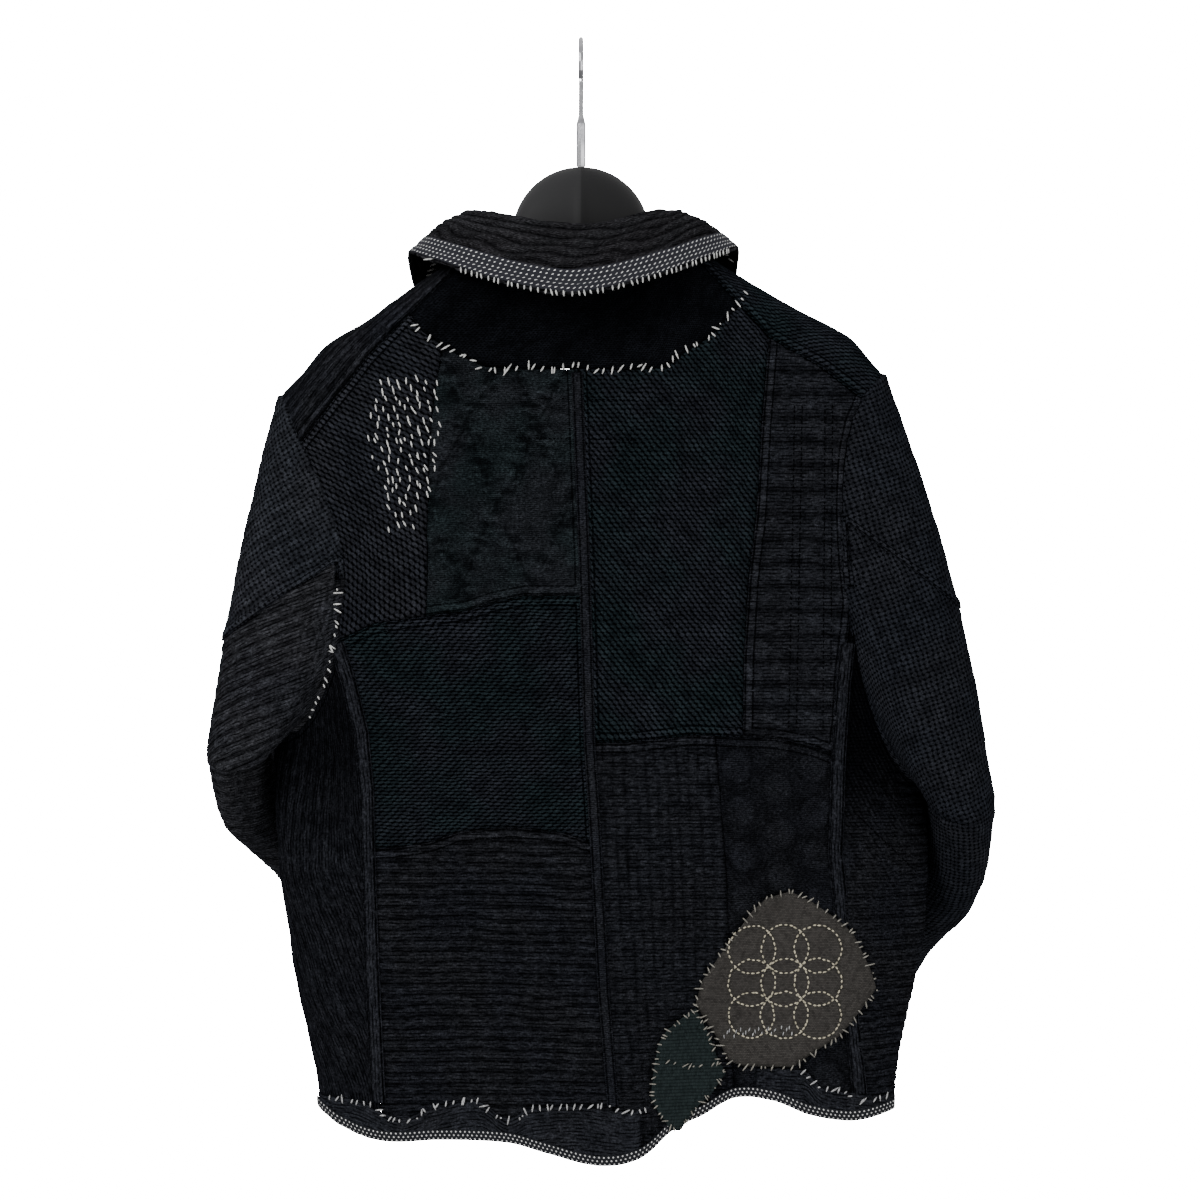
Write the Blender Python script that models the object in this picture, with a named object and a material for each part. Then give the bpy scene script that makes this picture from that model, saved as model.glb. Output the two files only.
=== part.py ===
"""A hip-length pea coat hanging on a display hanger.

Frame: metres, +Z up. The origin is the underside of the hook's wire, where the
coat hangs. The back of the coat faces -Y, its double-breasted front faces +Y,
and +X is to the right of someone who looks at the back. Tables and named sizes
are in millimetres and are turned into metres once, where a mesh is made.
"""
import bpy
import bmesh
from bisect import bisect_left
from math import acos, asin, copysign, cos, exp, hypot, pi, radians, sin, sqrt
from mathutils import Vector

MM = 0.001
WELD = 0.06               # millimetres between points that are one
NORMAL_STEP = 0.004       # share of a piece over which its skin's direction is measured
JOINT_REACH = 0.02        # the same below the elbow, in sections of the sleeve

# Cloth and layers, in millimetres
CLOTH = 2.2               # quilted cotton wall
SETBACK = 0.28            # each piece stops this far short of its seam
LAYER_GAP = 0.35          # air between a piece and what is sewn on it
STRIP = 1.0               # folded strip of a felled seam
FACING = 1.1              # hem facing turned to the outside
TAPE = 0.9                # dotted binding tape
PATCH = 1.1               # sewn-on patch
RIB_HEIGHT = 0.9

# Coat body
QUARTER = 400.0           # length that stands for a quarter turn round the body in flat patterns
ROUNDING = 45.0           # height over which the shoulder rounds from back to front
SQUARENESS = 2.8          # 2 is an ellipse, more is flatter in front and behind
NECK_HALF_WIDTH = 88.0
NECK_BACK_Z = -186.0
NECK_FRONT_TURN = 135.0   # degrees round the neck at which the collar ends
OVERLAP = 60.0            # how far a front passes the centre line
OVERLAP_LIFT = 2.8
LAPEL_BREAK_Z = -372.0
FRONT_HEM_Z = -856.0
FRONT_SIDE_SEAM = 150.0   # x distance of the front side seam from the middle
MIDDLE_X = 14.0           # the coat hangs this far to the right of its hook
SHOULDER_FRONT_TURN = 99.0   # degrees round the neck at which the front's shoulder seam starts

# Buttons of the double-breasted front
BUTTON_RADIUS = 14.0
BUTTON_THICKNESS = 3.6
BUTTON_X = 45.0
BUTTON_ROWS = (-430.0, -530.0, -630.0)

# Hanger
WIRE_RADIUS = 2.0
HOOK_RADIUS = 24.0
HEAD_TOP_Z = -100.0
HEAD_RADIUS = 55.0
HEAD_HALF_DEPTH = 27.0
ARM_END_X = 226.0
ARM_HALF_HEIGHT = 17.0
FERRULE_RADIUS = 3.8
FERRULE_TOP_Z = -62.0
ARM_HALF_DEPTH = 18.0
ARM_FILL = 30.0           # the arm's half depth where the coat is at its deepest
NECK_GAP = 6.0            # the arms start this far outside the neck seam
HEAD_BLEND = 40.0         # length over which the head runs into the arms
# Sections of the hanger, by distance from its middle
HANGER_STATIONS = (0, 18, 33, 45, 52, 55, 64, 78, 94, 110, 126, 142, 158, 172, 186, 199, 211, 220, ARM_END_X)
HANGER_SIDES = 10

# Shoulder line: x and height of the top of the coat
RIDGE = ((-290, -345), (-241, -284), (-222, -264), (-202, -242), (-172, -224), (-138, -199), (-88, -165),
         (-50, -142), (0, -130), (50, -141), (88, -162), (124, -186), (172, -214), (203, -230),
         (219, -241), (242, -268), (256, -286), (310, -345))

# Side edges: height, x of the left edge, x of the right edge
SIDES = ((-150, -247, 272), (-300, -247, 272), (-553, -246, 274), (-659, -241, 277), (-713, -233, 274),
         (-754, -227, 266), (-793, -218, 257), (-826, -211, 252), (-900, -203, 248))

# Half depth of the body: height, behind the middle, in front of the middle
DEPTHS = ((-150, 47, 47), (-260, 50, 48), (-400, 54, 50), (-560, 56, 52), (-700, 53, 50), (-900, 50, 47))

# Lower edge at the back: x, height
HEM = ((-207, -846), (-185, -862), (-157, -870), (-111, -869), (-58, -871), (-28, -878), (15, -887),
       (47, -881), (71, -861), (94, -850), (120, -837), (152, -839), (180, -850), (214, -855), (250, -848))

# Largest folds: side (1 back, -1 front), start x and z, end x and z, half width, height outwards
FOLDS = (
    (1, 18, -640, 16, -900, 42, 9.0),
    (1, 122, -760, 128, -900, 34, -9.0),
    (1, -205, -560, -200, -640, 17, -11.0),
    (1, -222, -640, -196, -880, 16, 5.0),
    (1, -120, -560, -60, -850, 40, -5.0),
    (1, -150, -700, -150, -890, 22, 5.0),
    (1, 236, -600, 150, -700, 18, -6.0),
    (1, 214, -640, 232, -880, 20, 5.0),
    (1, -150, -330, -60, -420, 26, 4.0),
    (1, 165, -330, 110, -440, 26, 4.0),
    (1, 60, -300, 70, -500, 36, -4.0),
    (1, -70, -470, -30, -620, 30, 4.0),
    (-1, -120, -420, -140, -860, 34, 8.0),
    (-1, 120, -430, 150, -860, 34, 8.0),
    (-1, -190, -560, -180, -860, 22, -6.0),
    (-1, 196, -580, 190, -860, 22, -6.0),
)

# Seams of the back: x and height along each seam
ARMHOLE_LEFT = ((-241, -284), (-221, -325), (-207, -356), (-196, -385), (-190, -410), (-189, -440), (-191, -470),
                (-195, -495), (-203, -519), (-212, -535), (-222, -546), (-234, -552), (-246, -555))
ARMHOLE_RIGHT = ((242, -268), (223, -289), (214, -310), (209, -335), (207, -375), (209, -416), (213, -452),
                 (218, -486), (225, -519), (233, -544), (244, -566), (256, -582), (273, -592))
SHOULDER_LEFT = ((-81.6, -168), (-135, -221), (-168, -255), (-222, -323))
SHOULDER_RIGHT = ((81.6, -165.4), (126, -214), (148, -240), (189, -263), (223, -289))
YOKE = ((-135, -221), (-124, -236), (-95, -254), (-75, -263), (-40, -265), (-3, -265), (37, -266),
        (66, -264), (84, -251), (104, -238), (114, -226), (126, -214))
CENTRE = ((-3, -265), (3, -415), (7, -558), (12, -637), (18, -756), (25, -838), (26, -886))
WELT_LEFT = ((-191, -479), (-162, -465), (-114, -458), (-89, -455), (-69, -448), (-44, -443), (4, -443))
LOW_LEFT = ((-167, -642), (-145, -641), (-119, -637), (-94, -628), (-54, -624), (-16, -628), (12, -637))
RICE_LEFT = ((-109, -246), (-117, -305), (-120, -368), (-121, -459))
SIDE_LEFT = ((-191, -479), (-182, -511), (-172, -551), (-168, -595), (-167, -642), (-164, -721), (-160, -812),
             (-157, -870))
WAFFLE_RIGHT = ((148, -240), (142, -312), (138, -377), (132, -429), (128, -490), (127, -554))
LOW_RIGHT = ((7, -558), (36, -558), (65, -555), (86, -552), (127, -554), (152, -555), (181, -561), (202, -569))
SIDE_RIGHT = ((213, -452), (206, -509), (202, -569), (200, -642), (207, -721), (217, -812), (221, -855))
GRID_RIGHT = ((105, -553), (113, -642), (117, -729), (121, -837))

# Upper edge of the turned-up hem facing, which is cut in waves: x, height
FACING_TOP = ((-203, -838), (-175, -841), (-142, -853), (-124, -848), (-79, -840), (-58, -853), (-41, -846),
              (-4, -842), (42, -846), (62, -838), (110, -818), (174, -816), (188, -829), (210, -834),
              (236, -838))

HEM_START = -368.0        # way round the body at which the hem's bands begin
HEM_STEP = 18.0
HEM_STEPS = 40

# Patches: centre, then outline points round it
GREY_CENTRE = (160, -744)
GREY_PATCH = ((164, -675), (145, -680), (134, -690), (108, -726), (95, -745), (90, -763), (98, -777), (107, -791),
              (116, -809), (130, -813), (167, -813), (187, -799), (202, -790), (214, -777), (232, -752), (227, -736),
              (214, -708), (200, -696), (181, -683))
GREEN_CENTRE = (84, -812)
GREEN_PATCH = ((90, -766), (81, -771), (67, -782), (60, -794), (56, -816), (54, -835), (61, -849), (70, -861),
               (77, -862), (91, -844), (102, -833), (113, -818), (105, -803), (101, -790), (95, -777))

# Sleeves below the armhole: centre x, y, z, half width, half depth, turn of the section in degrees
SLEEVE_LEFT = (
    (-274, 1, -564, 24, 61, 0),
    (-270, 24, -592, 25, 52, 14),
    (-247, 62, -620, 30, 47, 28),
    (-206, 100, -676, 38, 42, 12),
    (-168, 124, -744, 42, 39, 4),
    (-128, 142, -822, 46, 36, 0),
)
SLEEVE_RIGHT = (
    (306, 1, -606, 25, 60, 0),
    (301, 24, -640, 26, 52, -12),
    (288, 62, -676, 30, 47, -24),
    (254, 98, -722, 38, 43, -12),
    (222, 122, -776, 42, 39, -4),
    (192, 138, -834, 46, 36, 0),
)
# Pieces below the elbow: name, first and last section (the elbow is 1), rows of points
BELOW_ELBOW = {
    "left": (("forearm", 1.0, 6.0, 8),),
    "right": (("forearm", 1.0, 3.2, 5), ("cuff", 3.2, 6.0, 3)),
}
CAP_LEFT = 0.72           # how far down the sleeve its slanting seam starts, from 0 to 1
CAP_RIGHT = 0.56
CAP_END = 0.015           # the least of the slanting seam's fall, where it meets the armhole
SLEEVE_BULGE = 5.0
CROWDING = 0.5            # how much closer the armhole's points are at its tight turns, 0 to 1
UNDERARM_EASE = 2.2       # the sleeve head stands off a little more under the arm

# Collar: where it rolls over, and its outer edge
COLLAR_MIDDLE_X = -6.0
COLLAR_SIDE_TURN = 84.0   # degrees round the neck at which the collar starts to turn to the front
COLLAR_ROWS = 12          # rows of points down the fall, every second one raised
ROLL_HALF_WIDTH = 80.0
ROLL_BACK_Y = -62.0
ROLL_FRONT_Y = 62.0
ROLL_BACK_Z = -151.0
ROLL_SIDE_RISE = 17.0
ROLL_FRONT_FALL = 56.0
EDGE_HALF_WIDTH = 133.0
EDGE_BACK_Y = -90.0
EDGE_FRONT_Y = 76.0
EDGE_BACK_Z = -210.0
EDGE_SIDE_RISE = 45.0
EDGE_LEFT_DROP = 4.0
EDGE_FRONT_FALL = 66.0
STAND_INSET = 3.3         # the stand meets the roll this far inside it
STAND_DROP = 2.9
CROWN = 4.9               # how far the fall arches between roll and edge
TAPE_START = 0.72         # share of the fall at which its tape starts

# Lapels: corners of each folded-back piece, x and height: top, bottom, left, right
LAPEL_LEFT = (((-66, -208), (-146, -252)), ((46, -376), (36, -384)),
              ((-66, -208), (46, -376)), ((-146, -252), (-60, -332), (36, -384)))
LAPEL_RIGHT = (((66, -206), (146, -248)), ((9, -282), (52, -352)),
               ((66, -206), (9, -282)), ((146, -248), (98, -306), (52, -352)))

# Half widths of the felled strips over the seams
CENTRE_STRIP = 4.5
SIDE_STRIP = 6.0

# Finishes: colour, roughness, metallic
FINISHES = {
    "indigo_quilt": ((0.0075, 0.0082, 0.0110), 0.95, 0.0),
    "green_black_quilt": ((0.0050, 0.0085, 0.0090), 0.95, 0.0),
    "brown_black_quilt": ((0.0105, 0.0090, 0.0100), 0.95, 0.0),
    "dark_twill": ((0.0045, 0.0055, 0.0065), 0.95, 0.0),
    "dotted_tape": ((0.0600, 0.0600, 0.0640), 0.90, 0.0),
    "grey_patch_cloth": ((0.0420, 0.0380, 0.0340), 0.95, 0.0),
    "green_patch_cloth": ((0.0130, 0.0240, 0.0240), 0.95, 0.0),
    "horn": ((0.0200, 0.0140, 0.0100), 0.35, 0.0),
    "hanger_plastic": ((0.0200, 0.0200, 0.0210), 0.45, 0.0),
    "chrome": ((0.6200, 0.6200, 0.6300), 0.18, 1.0),
}


# Small helpers for numbers and outlines

def clamp(value, low, high):
    return max(low, min(high, value))


def smooth(value):
    t = clamp(value, 0.0, 1.0)
    return t * t * (3.0 - 2.0 * t)


def read(table, key, column=1):
    """A smooth curve through a table whose first column goes up or down."""
    rows = table if table[0][0] < table[-1][0] else table[::-1]
    key = clamp(key, rows[0][0], rows[-1][0])
    index = 0
    while index < len(rows) - 2 and key > rows[index + 1][0]:
        index += 1
    a, b = rows[index], rows[index + 1]
    span = b[0] - a[0]
    before = rows[index - 1] if index > 0 else a
    after = rows[index + 2] if index + 2 < len(rows) else b
    slope_a = (b[column] - before[column]) / (b[0] - before[0])
    slope_b = (after[column] - a[column]) / (after[0] - a[0])
    t = (key - a[0]) / span
    return ((2 * t ** 3 - 3 * t ** 2 + 1) * a[column] + (t ** 3 - 2 * t ** 2 + t) * span * slope_a
            + (3 * t ** 2 - 2 * t ** 3) * b[column] + (t ** 3 - t ** 2) * span * slope_b)


def along(line, t):
    """The point at the fraction t of a line's length."""
    steps = [hypot(b[0] - a[0], b[1] - a[1]) for a, b in zip(line, line[1:])]
    left = clamp(t, 0.0, 1.0) * sum(steps)
    for a, b, step in zip(line, line[1:], steps):
        if left <= step:
            f = left / step
            return (a[0] + (b[0] - a[0]) * f, a[1] + (b[1] - a[1]) * f)
        left -= step
    return line[-1]


def between(line, key_low, key_high, column=1):
    """The stretch of a seam between two values of one column, ends included."""
    low, high = sorted((key_low, key_high))

    def at(key):
        for a, b in zip(line, line[1:]):
            first, last = a[column], b[column]
            if min(first, last) <= key <= max(first, last) and first != last:
                f = (key - first) / (last - first)
                return (a[0] + (b[0] - a[0]) * f, a[1] + (b[1] - a[1]) * f)
        return line[0] if abs(line[0][column] - key) < abs(line[-1][column] - key) else line[-1]

    inner = [p for p in line if low + 0.5 < p[column] < high - 0.5]
    going_up = line[-1][column] > line[0][column]
    return [at(low if going_up else high)] + inner + [at(high if going_up else low)]


def dense(line, count):
    return [along(line, i / count) for i in range(count + 1)]


# The surface of the coat's body

def middle_and_half(z):
    left, right = read(SIDES, z, 1), read(SIDES, z, 2)
    return (left + right) / 2, (right - left) / 2


def fold(side, x, z):
    """How far the largest folds stand out at a place on the back or the front."""
    total = 0.0
    for face, x0, z0, x1, z1, width, height in FOLDS:
        if face != side:
            continue
        length = hypot(x1 - x0, z1 - z0)
        t = ((x - x0) * (x1 - x0) + (z - z0) * (z1 - z0)) / length ** 2
        across = ((x - x0) * (z1 - z0) - (z - z0) * (x1 - x0)) / length
        runs_out = smooth((t + 0.25) / 0.4) * smooth((1.25 - t) / 0.4)
        total += height * runs_out * exp(-(across / width) ** 2)
    return total


def body_point(x, z, side):
    """The coat's outer surface at x and z, on the back (side 1) or the front (side -1)."""
    middle, half = middle_and_half(z)
    share = min(1.0, abs(x - middle) / half)
    across = (1.0 - share ** SQUARENESS) ** (1.0 / SQUARENESS)
    drop = clamp((read(RIDGE, x) - z) / ROUNDING, 0.0, 1.0)
    down = sqrt(1.0 - (1.0 - drop) ** 2)
    depth = read(DEPTHS, z, 1 if side > 0 else 2)
    return Vector((x, -side * (depth + fold(side, x, z)) * across * down, z))


def girth_of(x, z, side=1):
    """Way round the body: 0 centre back, one QUARTER at the right side, two at the centre front."""
    middle, half = middle_and_half(z)
    turn = QUARTER * asin(clamp((x - middle) / half, -1.0, 1.0)) / (pi / 2)
    return turn if side > 0 else copysign(2.0 * QUARTER, turn) - turn


def body_at_girth(girth, z):
    middle, half = middle_and_half(z)
    turn = girth / QUARTER * pi / 2
    return body_point(middle + half * sin(turn), z, 1 if cos(turn) >= 0 else -1)


def over_shoulder(x, walk):
    """The surface at a walked distance down from the shoulder line, negative in front."""
    quarter = ROUNDING * pi / 2
    if abs(walk) < quarter:
        drop = ROUNDING * (1 - cos(abs(walk) / ROUNDING))
    else:
        drop = ROUNDING + abs(walk) - quarter
    return body_point(x, read(RIDGE, x) - drop, 1 if walk >= 0 else -1)


def walk_of(x, z):
    drop = max(0.0, read(RIDGE, x) - z)
    if drop < ROUNDING:
        return ROUNDING * acos(1 - drop / ROUNDING)
    return ROUNDING * pi / 2 + drop - ROUNDING


def hem_z(x, side):
    back = read(HEM, x)
    if side > 0:
        return back
    middle, half = middle_and_half(-850)
    return back + (FRONT_HEM_Z - back) * smooth((1 - abs(x - middle) / half) / 0.25)


def neck_z(turn):
    """Height of the neck seam at a turn round the neck: 0 behind, 90 at the side."""
    side_z = read(RIDGE, copysign(NECK_HALF_WIDTH, turn) if turn else 0.0)
    if abs(turn) <= 90:
        return NECK_BACK_Z + (side_z - NECK_BACK_Z) * sin(radians(abs(turn))) ** 2
    return side_z - 40.0 * ((abs(turn) - 90) / 45.0) ** 1.3


def neck_point(turn):
    x = NECK_HALF_WIDTH * sin(radians(turn))
    return body_point(x, neck_z(turn), 1 if abs(turn) <= 90 else -1)


# From four seams to a place on the body

def patch(top, bottom, left, right):
    """A map from the unit square to the region between four lines."""
    def spot(u, v):
        t, b, l, r = along(top, u), along(bottom, u), along(left, v), along(right, v)
        corners = ((top[0], top[-1]), (bottom[0], bottom[-1]))
        out = []
        for i in (0, 1):
            ruled = (1 - v) * t[i] + v * b[i] + (1 - u) * l[i] + u * r[i]
            twice = ((1 - u) * (1 - v) * corners[0][0][i] + u * (1 - v) * corners[0][1][i]
                     + (1 - u) * v * corners[1][0][i] + u * v * corners[1][1][i])
            out.append(ruled - twice)
        return out
    return spot


def on_girth(line, side=1, count=24):
    """A seam given in x and z, as the way round the body and z."""
    return [(girth_of(x, z, side), z) for x, z in dense(line, count)]


def back_piece(top, bottom, left, right):
    region = patch(*[on_girth(line) for line in (top, bottom, left, right)])
    return lambda u, v: body_at_girth(*region(u, v))


# Solids

def finish_of(name):
    material = bpy.data.materials.get(name)
    if material is None:
        colour, roughness, metallic = FINISHES[name]
        material = bpy.data.materials.new(name)
        material.use_nodes = True
        shader = material.node_tree.nodes["Principled BSDF"]
        shader.inputs["Base Color"].default_value = (*colour, 1.0)
        shader.inputs["Roughness"].default_value = roughness
        shader.inputs["Metallic"].default_value = metallic
    return material


def keep(name, bm, finish, sharp=40.0):
    """Turn a bmesh in millimetres into a named object in metres."""
    bmesh.ops.recalc_face_normals(bm, faces=bm.faces)
    if bm.calc_volume(signed=True) < 0:
        bmesh.ops.reverse_faces(bm, faces=bm.faces)
    bmesh.ops.scale(bm, vec=(MM, MM, MM), verts=bm.verts)
    mesh = bpy.data.meshes.new(name)
    bm.to_mesh(mesh)
    bm.free()
    mesh.shade_smooth()
    mesh.set_sharp_from_angle(angle=radians(sharp))
    mesh.materials.append(finish_of(finish))
    item = bpy.data.objects.new(name, mesh)
    bpy.context.collection.objects.link(item)
    return item


def normal_at(place, u, v, wraps, runs_on, reach=NORMAL_STEP):
    """The skin's direction; a tube that runs on is measured across its end, so that joints are mitred."""
    u0, u1 = u - NORMAL_STEP, u + NORMAL_STEP
    v0, v1 = v - reach, v + reach
    if not wraps:
        u0, u1 = max(0.0, u0), min(1.0, u1)
    if not runs_on:
        v0, v1 = max(0.0, v0), min(1.0, v1)
    across = place(u1 % 1.0 if wraps else u1, v) - place(u0 % 1.0 if wraps else u0, v)
    return across.cross(place(u, v1) - place(u, v0)).normalized()


def wall(name, place, columns, rows, finish, away, lift=0.0, thick=CLOTH, wraps=False,
         relief=None, setback=SETBACK, runs_on=False, reach=NORMAL_STEP):
    """A cloth wall over the unit square: place gives its outer skin, away points out of the hollow."""
    bm = bmesh.new()
    bmesh.ops.create_grid(bm, x_segments=columns, y_segments=rows, size=0.5)
    outward = away(place(0.5, 0.5))
    sign = copysign(1.0, normal_at(place, 0.5, 0.5, wraps, runs_on).dot(outward))
    seats = {}
    for vert in bm.verts:
        u, v = vert.co.x + 0.5, 0.5 - vert.co.y
        tall = (place(u, 1.0) - place(u, 0.0)).length
        wide = (place(1.0, v) - place(0.0, v)).length
        v = 0.5 + (v - 0.5) * (1 - 2 * setback / max(tall, 8.0))
        if not wraps:
            u = 0.5 + (u - 0.5) * (1 - 2 * setback / max(wide, 8.0))
        normal = sign * normal_at(place, u, v, wraps, runs_on, reach)
        extra = relief(u, v) if relief else 0.0
        height = lift(u, v) if callable(lift) else lift
        seats[vert] = (place(u % 1.0 if wraps else u, v), normal, height, extra)
    rim = [e for e in bm.edges if e.is_boundary]
    if wraps:
        rim = [e for e in rim if abs(e.verts[0].co.x - e.verts[1].co.x) > 1e-4]
    copied = bmesh.ops.duplicate(bm, geom=bm.verts[:] + bm.edges[:] + bm.faces[:])
    twin = {vert: copied["vert_map"][vert] for vert in seats}
    for vert, (point, normal, height, extra) in seats.items():
        twin[vert].co = point + normal * (height - thick)
        vert.co = point + normal * (height + extra)
    for edge in rim:
        a, b = edge.verts
        bm.faces.new((a, b, twin[b], twin[a]))
    if wraps:
        bmesh.ops.remove_doubles(bm, verts=bm.verts, dist=WELD)
    return keep(name, bm, finish)


def ribs(rows):
    """Raised rows of quilting: every second row of points stands out."""
    return lambda u, v: RIB_HEIGHT if round(v * rows) % 2 else 0.0


def away_from_body(point):
    return point - Vector((MIDDLE_X, 0.0, point.z))


# Back panels

def build_back():
    neck_turns = [-68 + 136 * i / 12 for i in range(13)]
    neck = [(NECK_HALF_WIDTH * sin(radians(t)), neck_z(t)) for t in neck_turns]
    neck[0], neck[-1] = SHOULDER_LEFT[0], SHOULDER_RIGHT[0]
    left_end = between(SHOULDER_LEFT, SHOULDER_LEFT[0][0], YOKE[0][0], column=0)
    right_end = between(SHOULDER_RIGHT, SHOULDER_RIGHT[0][0], YOKE[-1][0], column=0)
    yoke_left = between(YOKE, -135, -109, column=0)[:-1]
    yoke_mid = between(YOKE, -109, -3, column=0)
    yoke_right = between(YOKE, -3, 126, column=0)
    pieces = (
        ("neck_yoke", neck, YOKE, left_end, right_end, 18, 4, "dark_twill", False),
        ("back_left_rice", between(SHOULDER_LEFT, -222, -135, column=0)[::-1],
         between(WELT_LEFT, -191, -121, column=0), between(ARMHOLE_LEFT, -323, -479), yoke_left + list(RICE_LEFT),
         6, 10, "green_black_quilt", False),
        ("back_left_lattice", yoke_mid, between(WELT_LEFT, -121, 4, column=0), RICE_LEFT,
         between(CENTRE, -265, -443), 8, 9, "green_black_quilt", False),
        ("back_left_twill", WELT_LEFT, LOW_LEFT, between(SIDE_LEFT, -479, -642), between(CENTRE, -443, -637),
         12, 9, "green_black_quilt", False),
        ("back_left_rows", LOW_LEFT, between(HEM, -157, 26, column=0), between(SIDE_LEFT, -642, -870),
         between(CENTRE, -637, -886), 8, 58, "indigo_quilt", True),
        ("back_right_waffle", yoke_right, between(LOW_RIGHT, 7, 127, column=0), between(CENTRE, -265, -558),
         between(SHOULDER_RIGHT, 126, 148, column=0) + list(WAFFLE_RIGHT[1:]),
         8, 14, "green_black_quilt", False),
        ("back_right_strip", between(SHOULDER_RIGHT, 148, 223, column=0), between(LOW_RIGHT, 127, 202, column=0),
         WAFFLE_RIGHT, between(ARMHOLE_RIGHT, -289, -452) + between(SIDE_RIGHT, -452, -569)[1:],
         3, 36, "brown_black_quilt", True),
        ("back_right_grid", between(LOW_RIGHT, 7, 105, column=0), between(HEM, 26, 121, column=0),
         between(CENTRE, -558, -886), GRID_RIGHT, 6, 13, "brown_black_quilt", False),
        ("back_right_spots", between(LOW_RIGHT, 105, 202, column=0), between(HEM, 121, 221, column=0),
         GRID_RIGHT, between(SIDE_RIGHT, -569, -855), 5, 13, "indigo_quilt", False),
    )
    for name, top, bottom, left, right, columns, rows, finish, ribbed in pieces:
        wall(name, back_piece(top, bottom, left, right), columns, rows, finish, away_from_body,
             relief=ribs(rows) if ribbed else None, setback=0.45 if name == "neck_yoke" else 0.36)


def armhole_line(table, side, count=24):
    """Half of an armhole, from the shoulder tip down to the underarm, as way round and z."""
    return [(girth_of(x, z, side), z) for x, z in dense(table, count)]


def build_sides():
    """Side panels: from the back side seam, round the underarm, to the front side seam."""
    jobs = (("side_left", ARMHOLE_LEFT, SIDE_LEFT, -1), ("side_right", ARMHOLE_RIGHT, SIDE_RIGHT, 1))
    for name, armhole, seam, hand in jobs:
        meet_z = seam[0][1]
        low = between(armhole, meet_z, armhole[-1][1])
        back_top = on_girth(low)
        front_top = armhole_line(low, -1)
        top = back_top[:-1] + [(hand * QUARTER, armhole[-1][1])] + front_top[::-1][1:]
        inner = on_girth(front_side_seam(hand), -1)
        outer = on_girth(seam)
        ways = [outer[-1][0] + (inner[-1][0] - outer[-1][0]) * i / 20 for i in range(21)]
        bottom = [(way, hem_at(way)) for way in ways]
        if hand < 0:
            region = patch(top[::-1], bottom[::-1], inner, outer)
        else:
            region = patch(top, bottom, outer, inner)
        wall(name, lambda u, v, r=region: body_at_girth(*r(u, v)), 14, 11, "indigo_quilt", away_from_body,
             setback=0.4)


def front_side_seam(hand):
    """The front's side seam, from the armhole in a slow curve down to the hem."""
    armhole, seam = (ARMHOLE_LEFT, SIDE_LEFT) if hand < 0 else (ARMHOLE_RIGHT, SIDE_RIGHT)
    top = between(armhole, armhole[0][1], seam[0][1])[-1]
    foot_x = hand * FRONT_SIDE_SEAM + MIDDLE_X
    line = [top]
    for i in range(1, 6):
        t = i / 5
        line.append((top[0] + (foot_x - top[0]) * (1 - (1 - t) ** 2), top[1] - 170 * t))
    return line + [(foot_x, hem_z(foot_x, -1))]


def hem_at(girth):
    middle, half = middle_and_half(-850)
    turn = girth / QUARTER * pi / 2
    return hem_z(middle + half * sin(turn), 1 if cos(turn) >= 0 else -1)


def front_lift(hand):
    """The left front lies over the right one where they overlap."""
    def lift(x):
        return OVERLAP_LIFT * smooth((x + OVERLAP + 84) / 82) if hand < 0 else 0.0
    return lift


def front_frame(hand):
    """The seams that bound one front, in x and z, for its own hand (-1 left, 1 right)."""
    armhole = ARMHOLE_LEFT if hand < 0 else ARMHOLE_RIGHT
    seam = SIDE_LEFT if hand < 0 else SIDE_RIGHT
    meet = between(armhole, armhole[0][1], seam[0][1])[-1]
    turns = [SHOULDER_FRONT_TURN + (NECK_FRONT_TURN - SHOULDER_FRONT_TURN) * i / 5 for i in range(6)]
    neck = [(hand * NECK_HALF_WIDTH * sin(radians(t)), neck_z(hand * t)) for t in turns]
    shoulder = [neck[0]] + list((SHOULDER_LEFT if hand < 0 else SHOULDER_RIGHT)[1:])
    arm = between(armhole, shoulder[-1][1], meet[1])
    seam_in_front = front_side_seam(hand)
    front_x = seam_in_front[-1][0]
    outer = arm + seam_in_front[1:]
    edge = -hand * OVERLAP
    inner = neck + [(edge, LAPEL_BREAK_Z), (edge, FRONT_HEM_Z)]
    hem = [(edge + (front_x - edge) * i / 12, 0.0) for i in range(13)]
    hem = [(x, hem_z(x, -1)) for x, _ in hem]
    return shoulder, hem, inner, outer


def front_way(line, hand, count=30):
    """A front seam as way round: past the middle it goes on beyond two quarters."""
    out = []
    for x, z in dense(line, count):
        middle, half = middle_and_half(z)
        out.append((QUARTER * (hand * 2.0 - asin(clamp((x - middle) / half, -1, 1)) / (pi / 2)), z))
    return out


def build_fronts():
    for name, hand in (("front_left", -1), ("front_right", 1)):
        shoulder, hem, inner, outer = front_frame(hand)
        region = patch(*[front_way(line, hand) for line in (shoulder, hem, inner, outer)])
        place = lambda u, v, r=region: body_at_girth(*r(u, v))
        rise = front_lift(hand)
        wall(name, place, 8, 15, "indigo_quilt", away_from_body,
             lift=lambda u, v, p=place, f=rise: f(p(u, v).x), setback=0.5)


def build_lapels():
    """Each lapel is the front's upper corner, folded back over it along the break line."""
    jobs = (("lapel_left", -1, LAPEL_LEFT), ("lapel_right", 1, LAPEL_RIGHT))
    for name, hand, lines in jobs:
        region = patch(*[front_way(line, hand, 12) for line in lines])
        place = lambda u, v, r=region: body_at_girth(*r(u, v))
        rise = front_lift(hand)
        wall(name, place, 4, 8, "dark_twill", away_from_body,
             lift=lambda u, v, p=place, f=rise: f(p(u, v).x) + LAYER_GAP + CLOTH)


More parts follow.
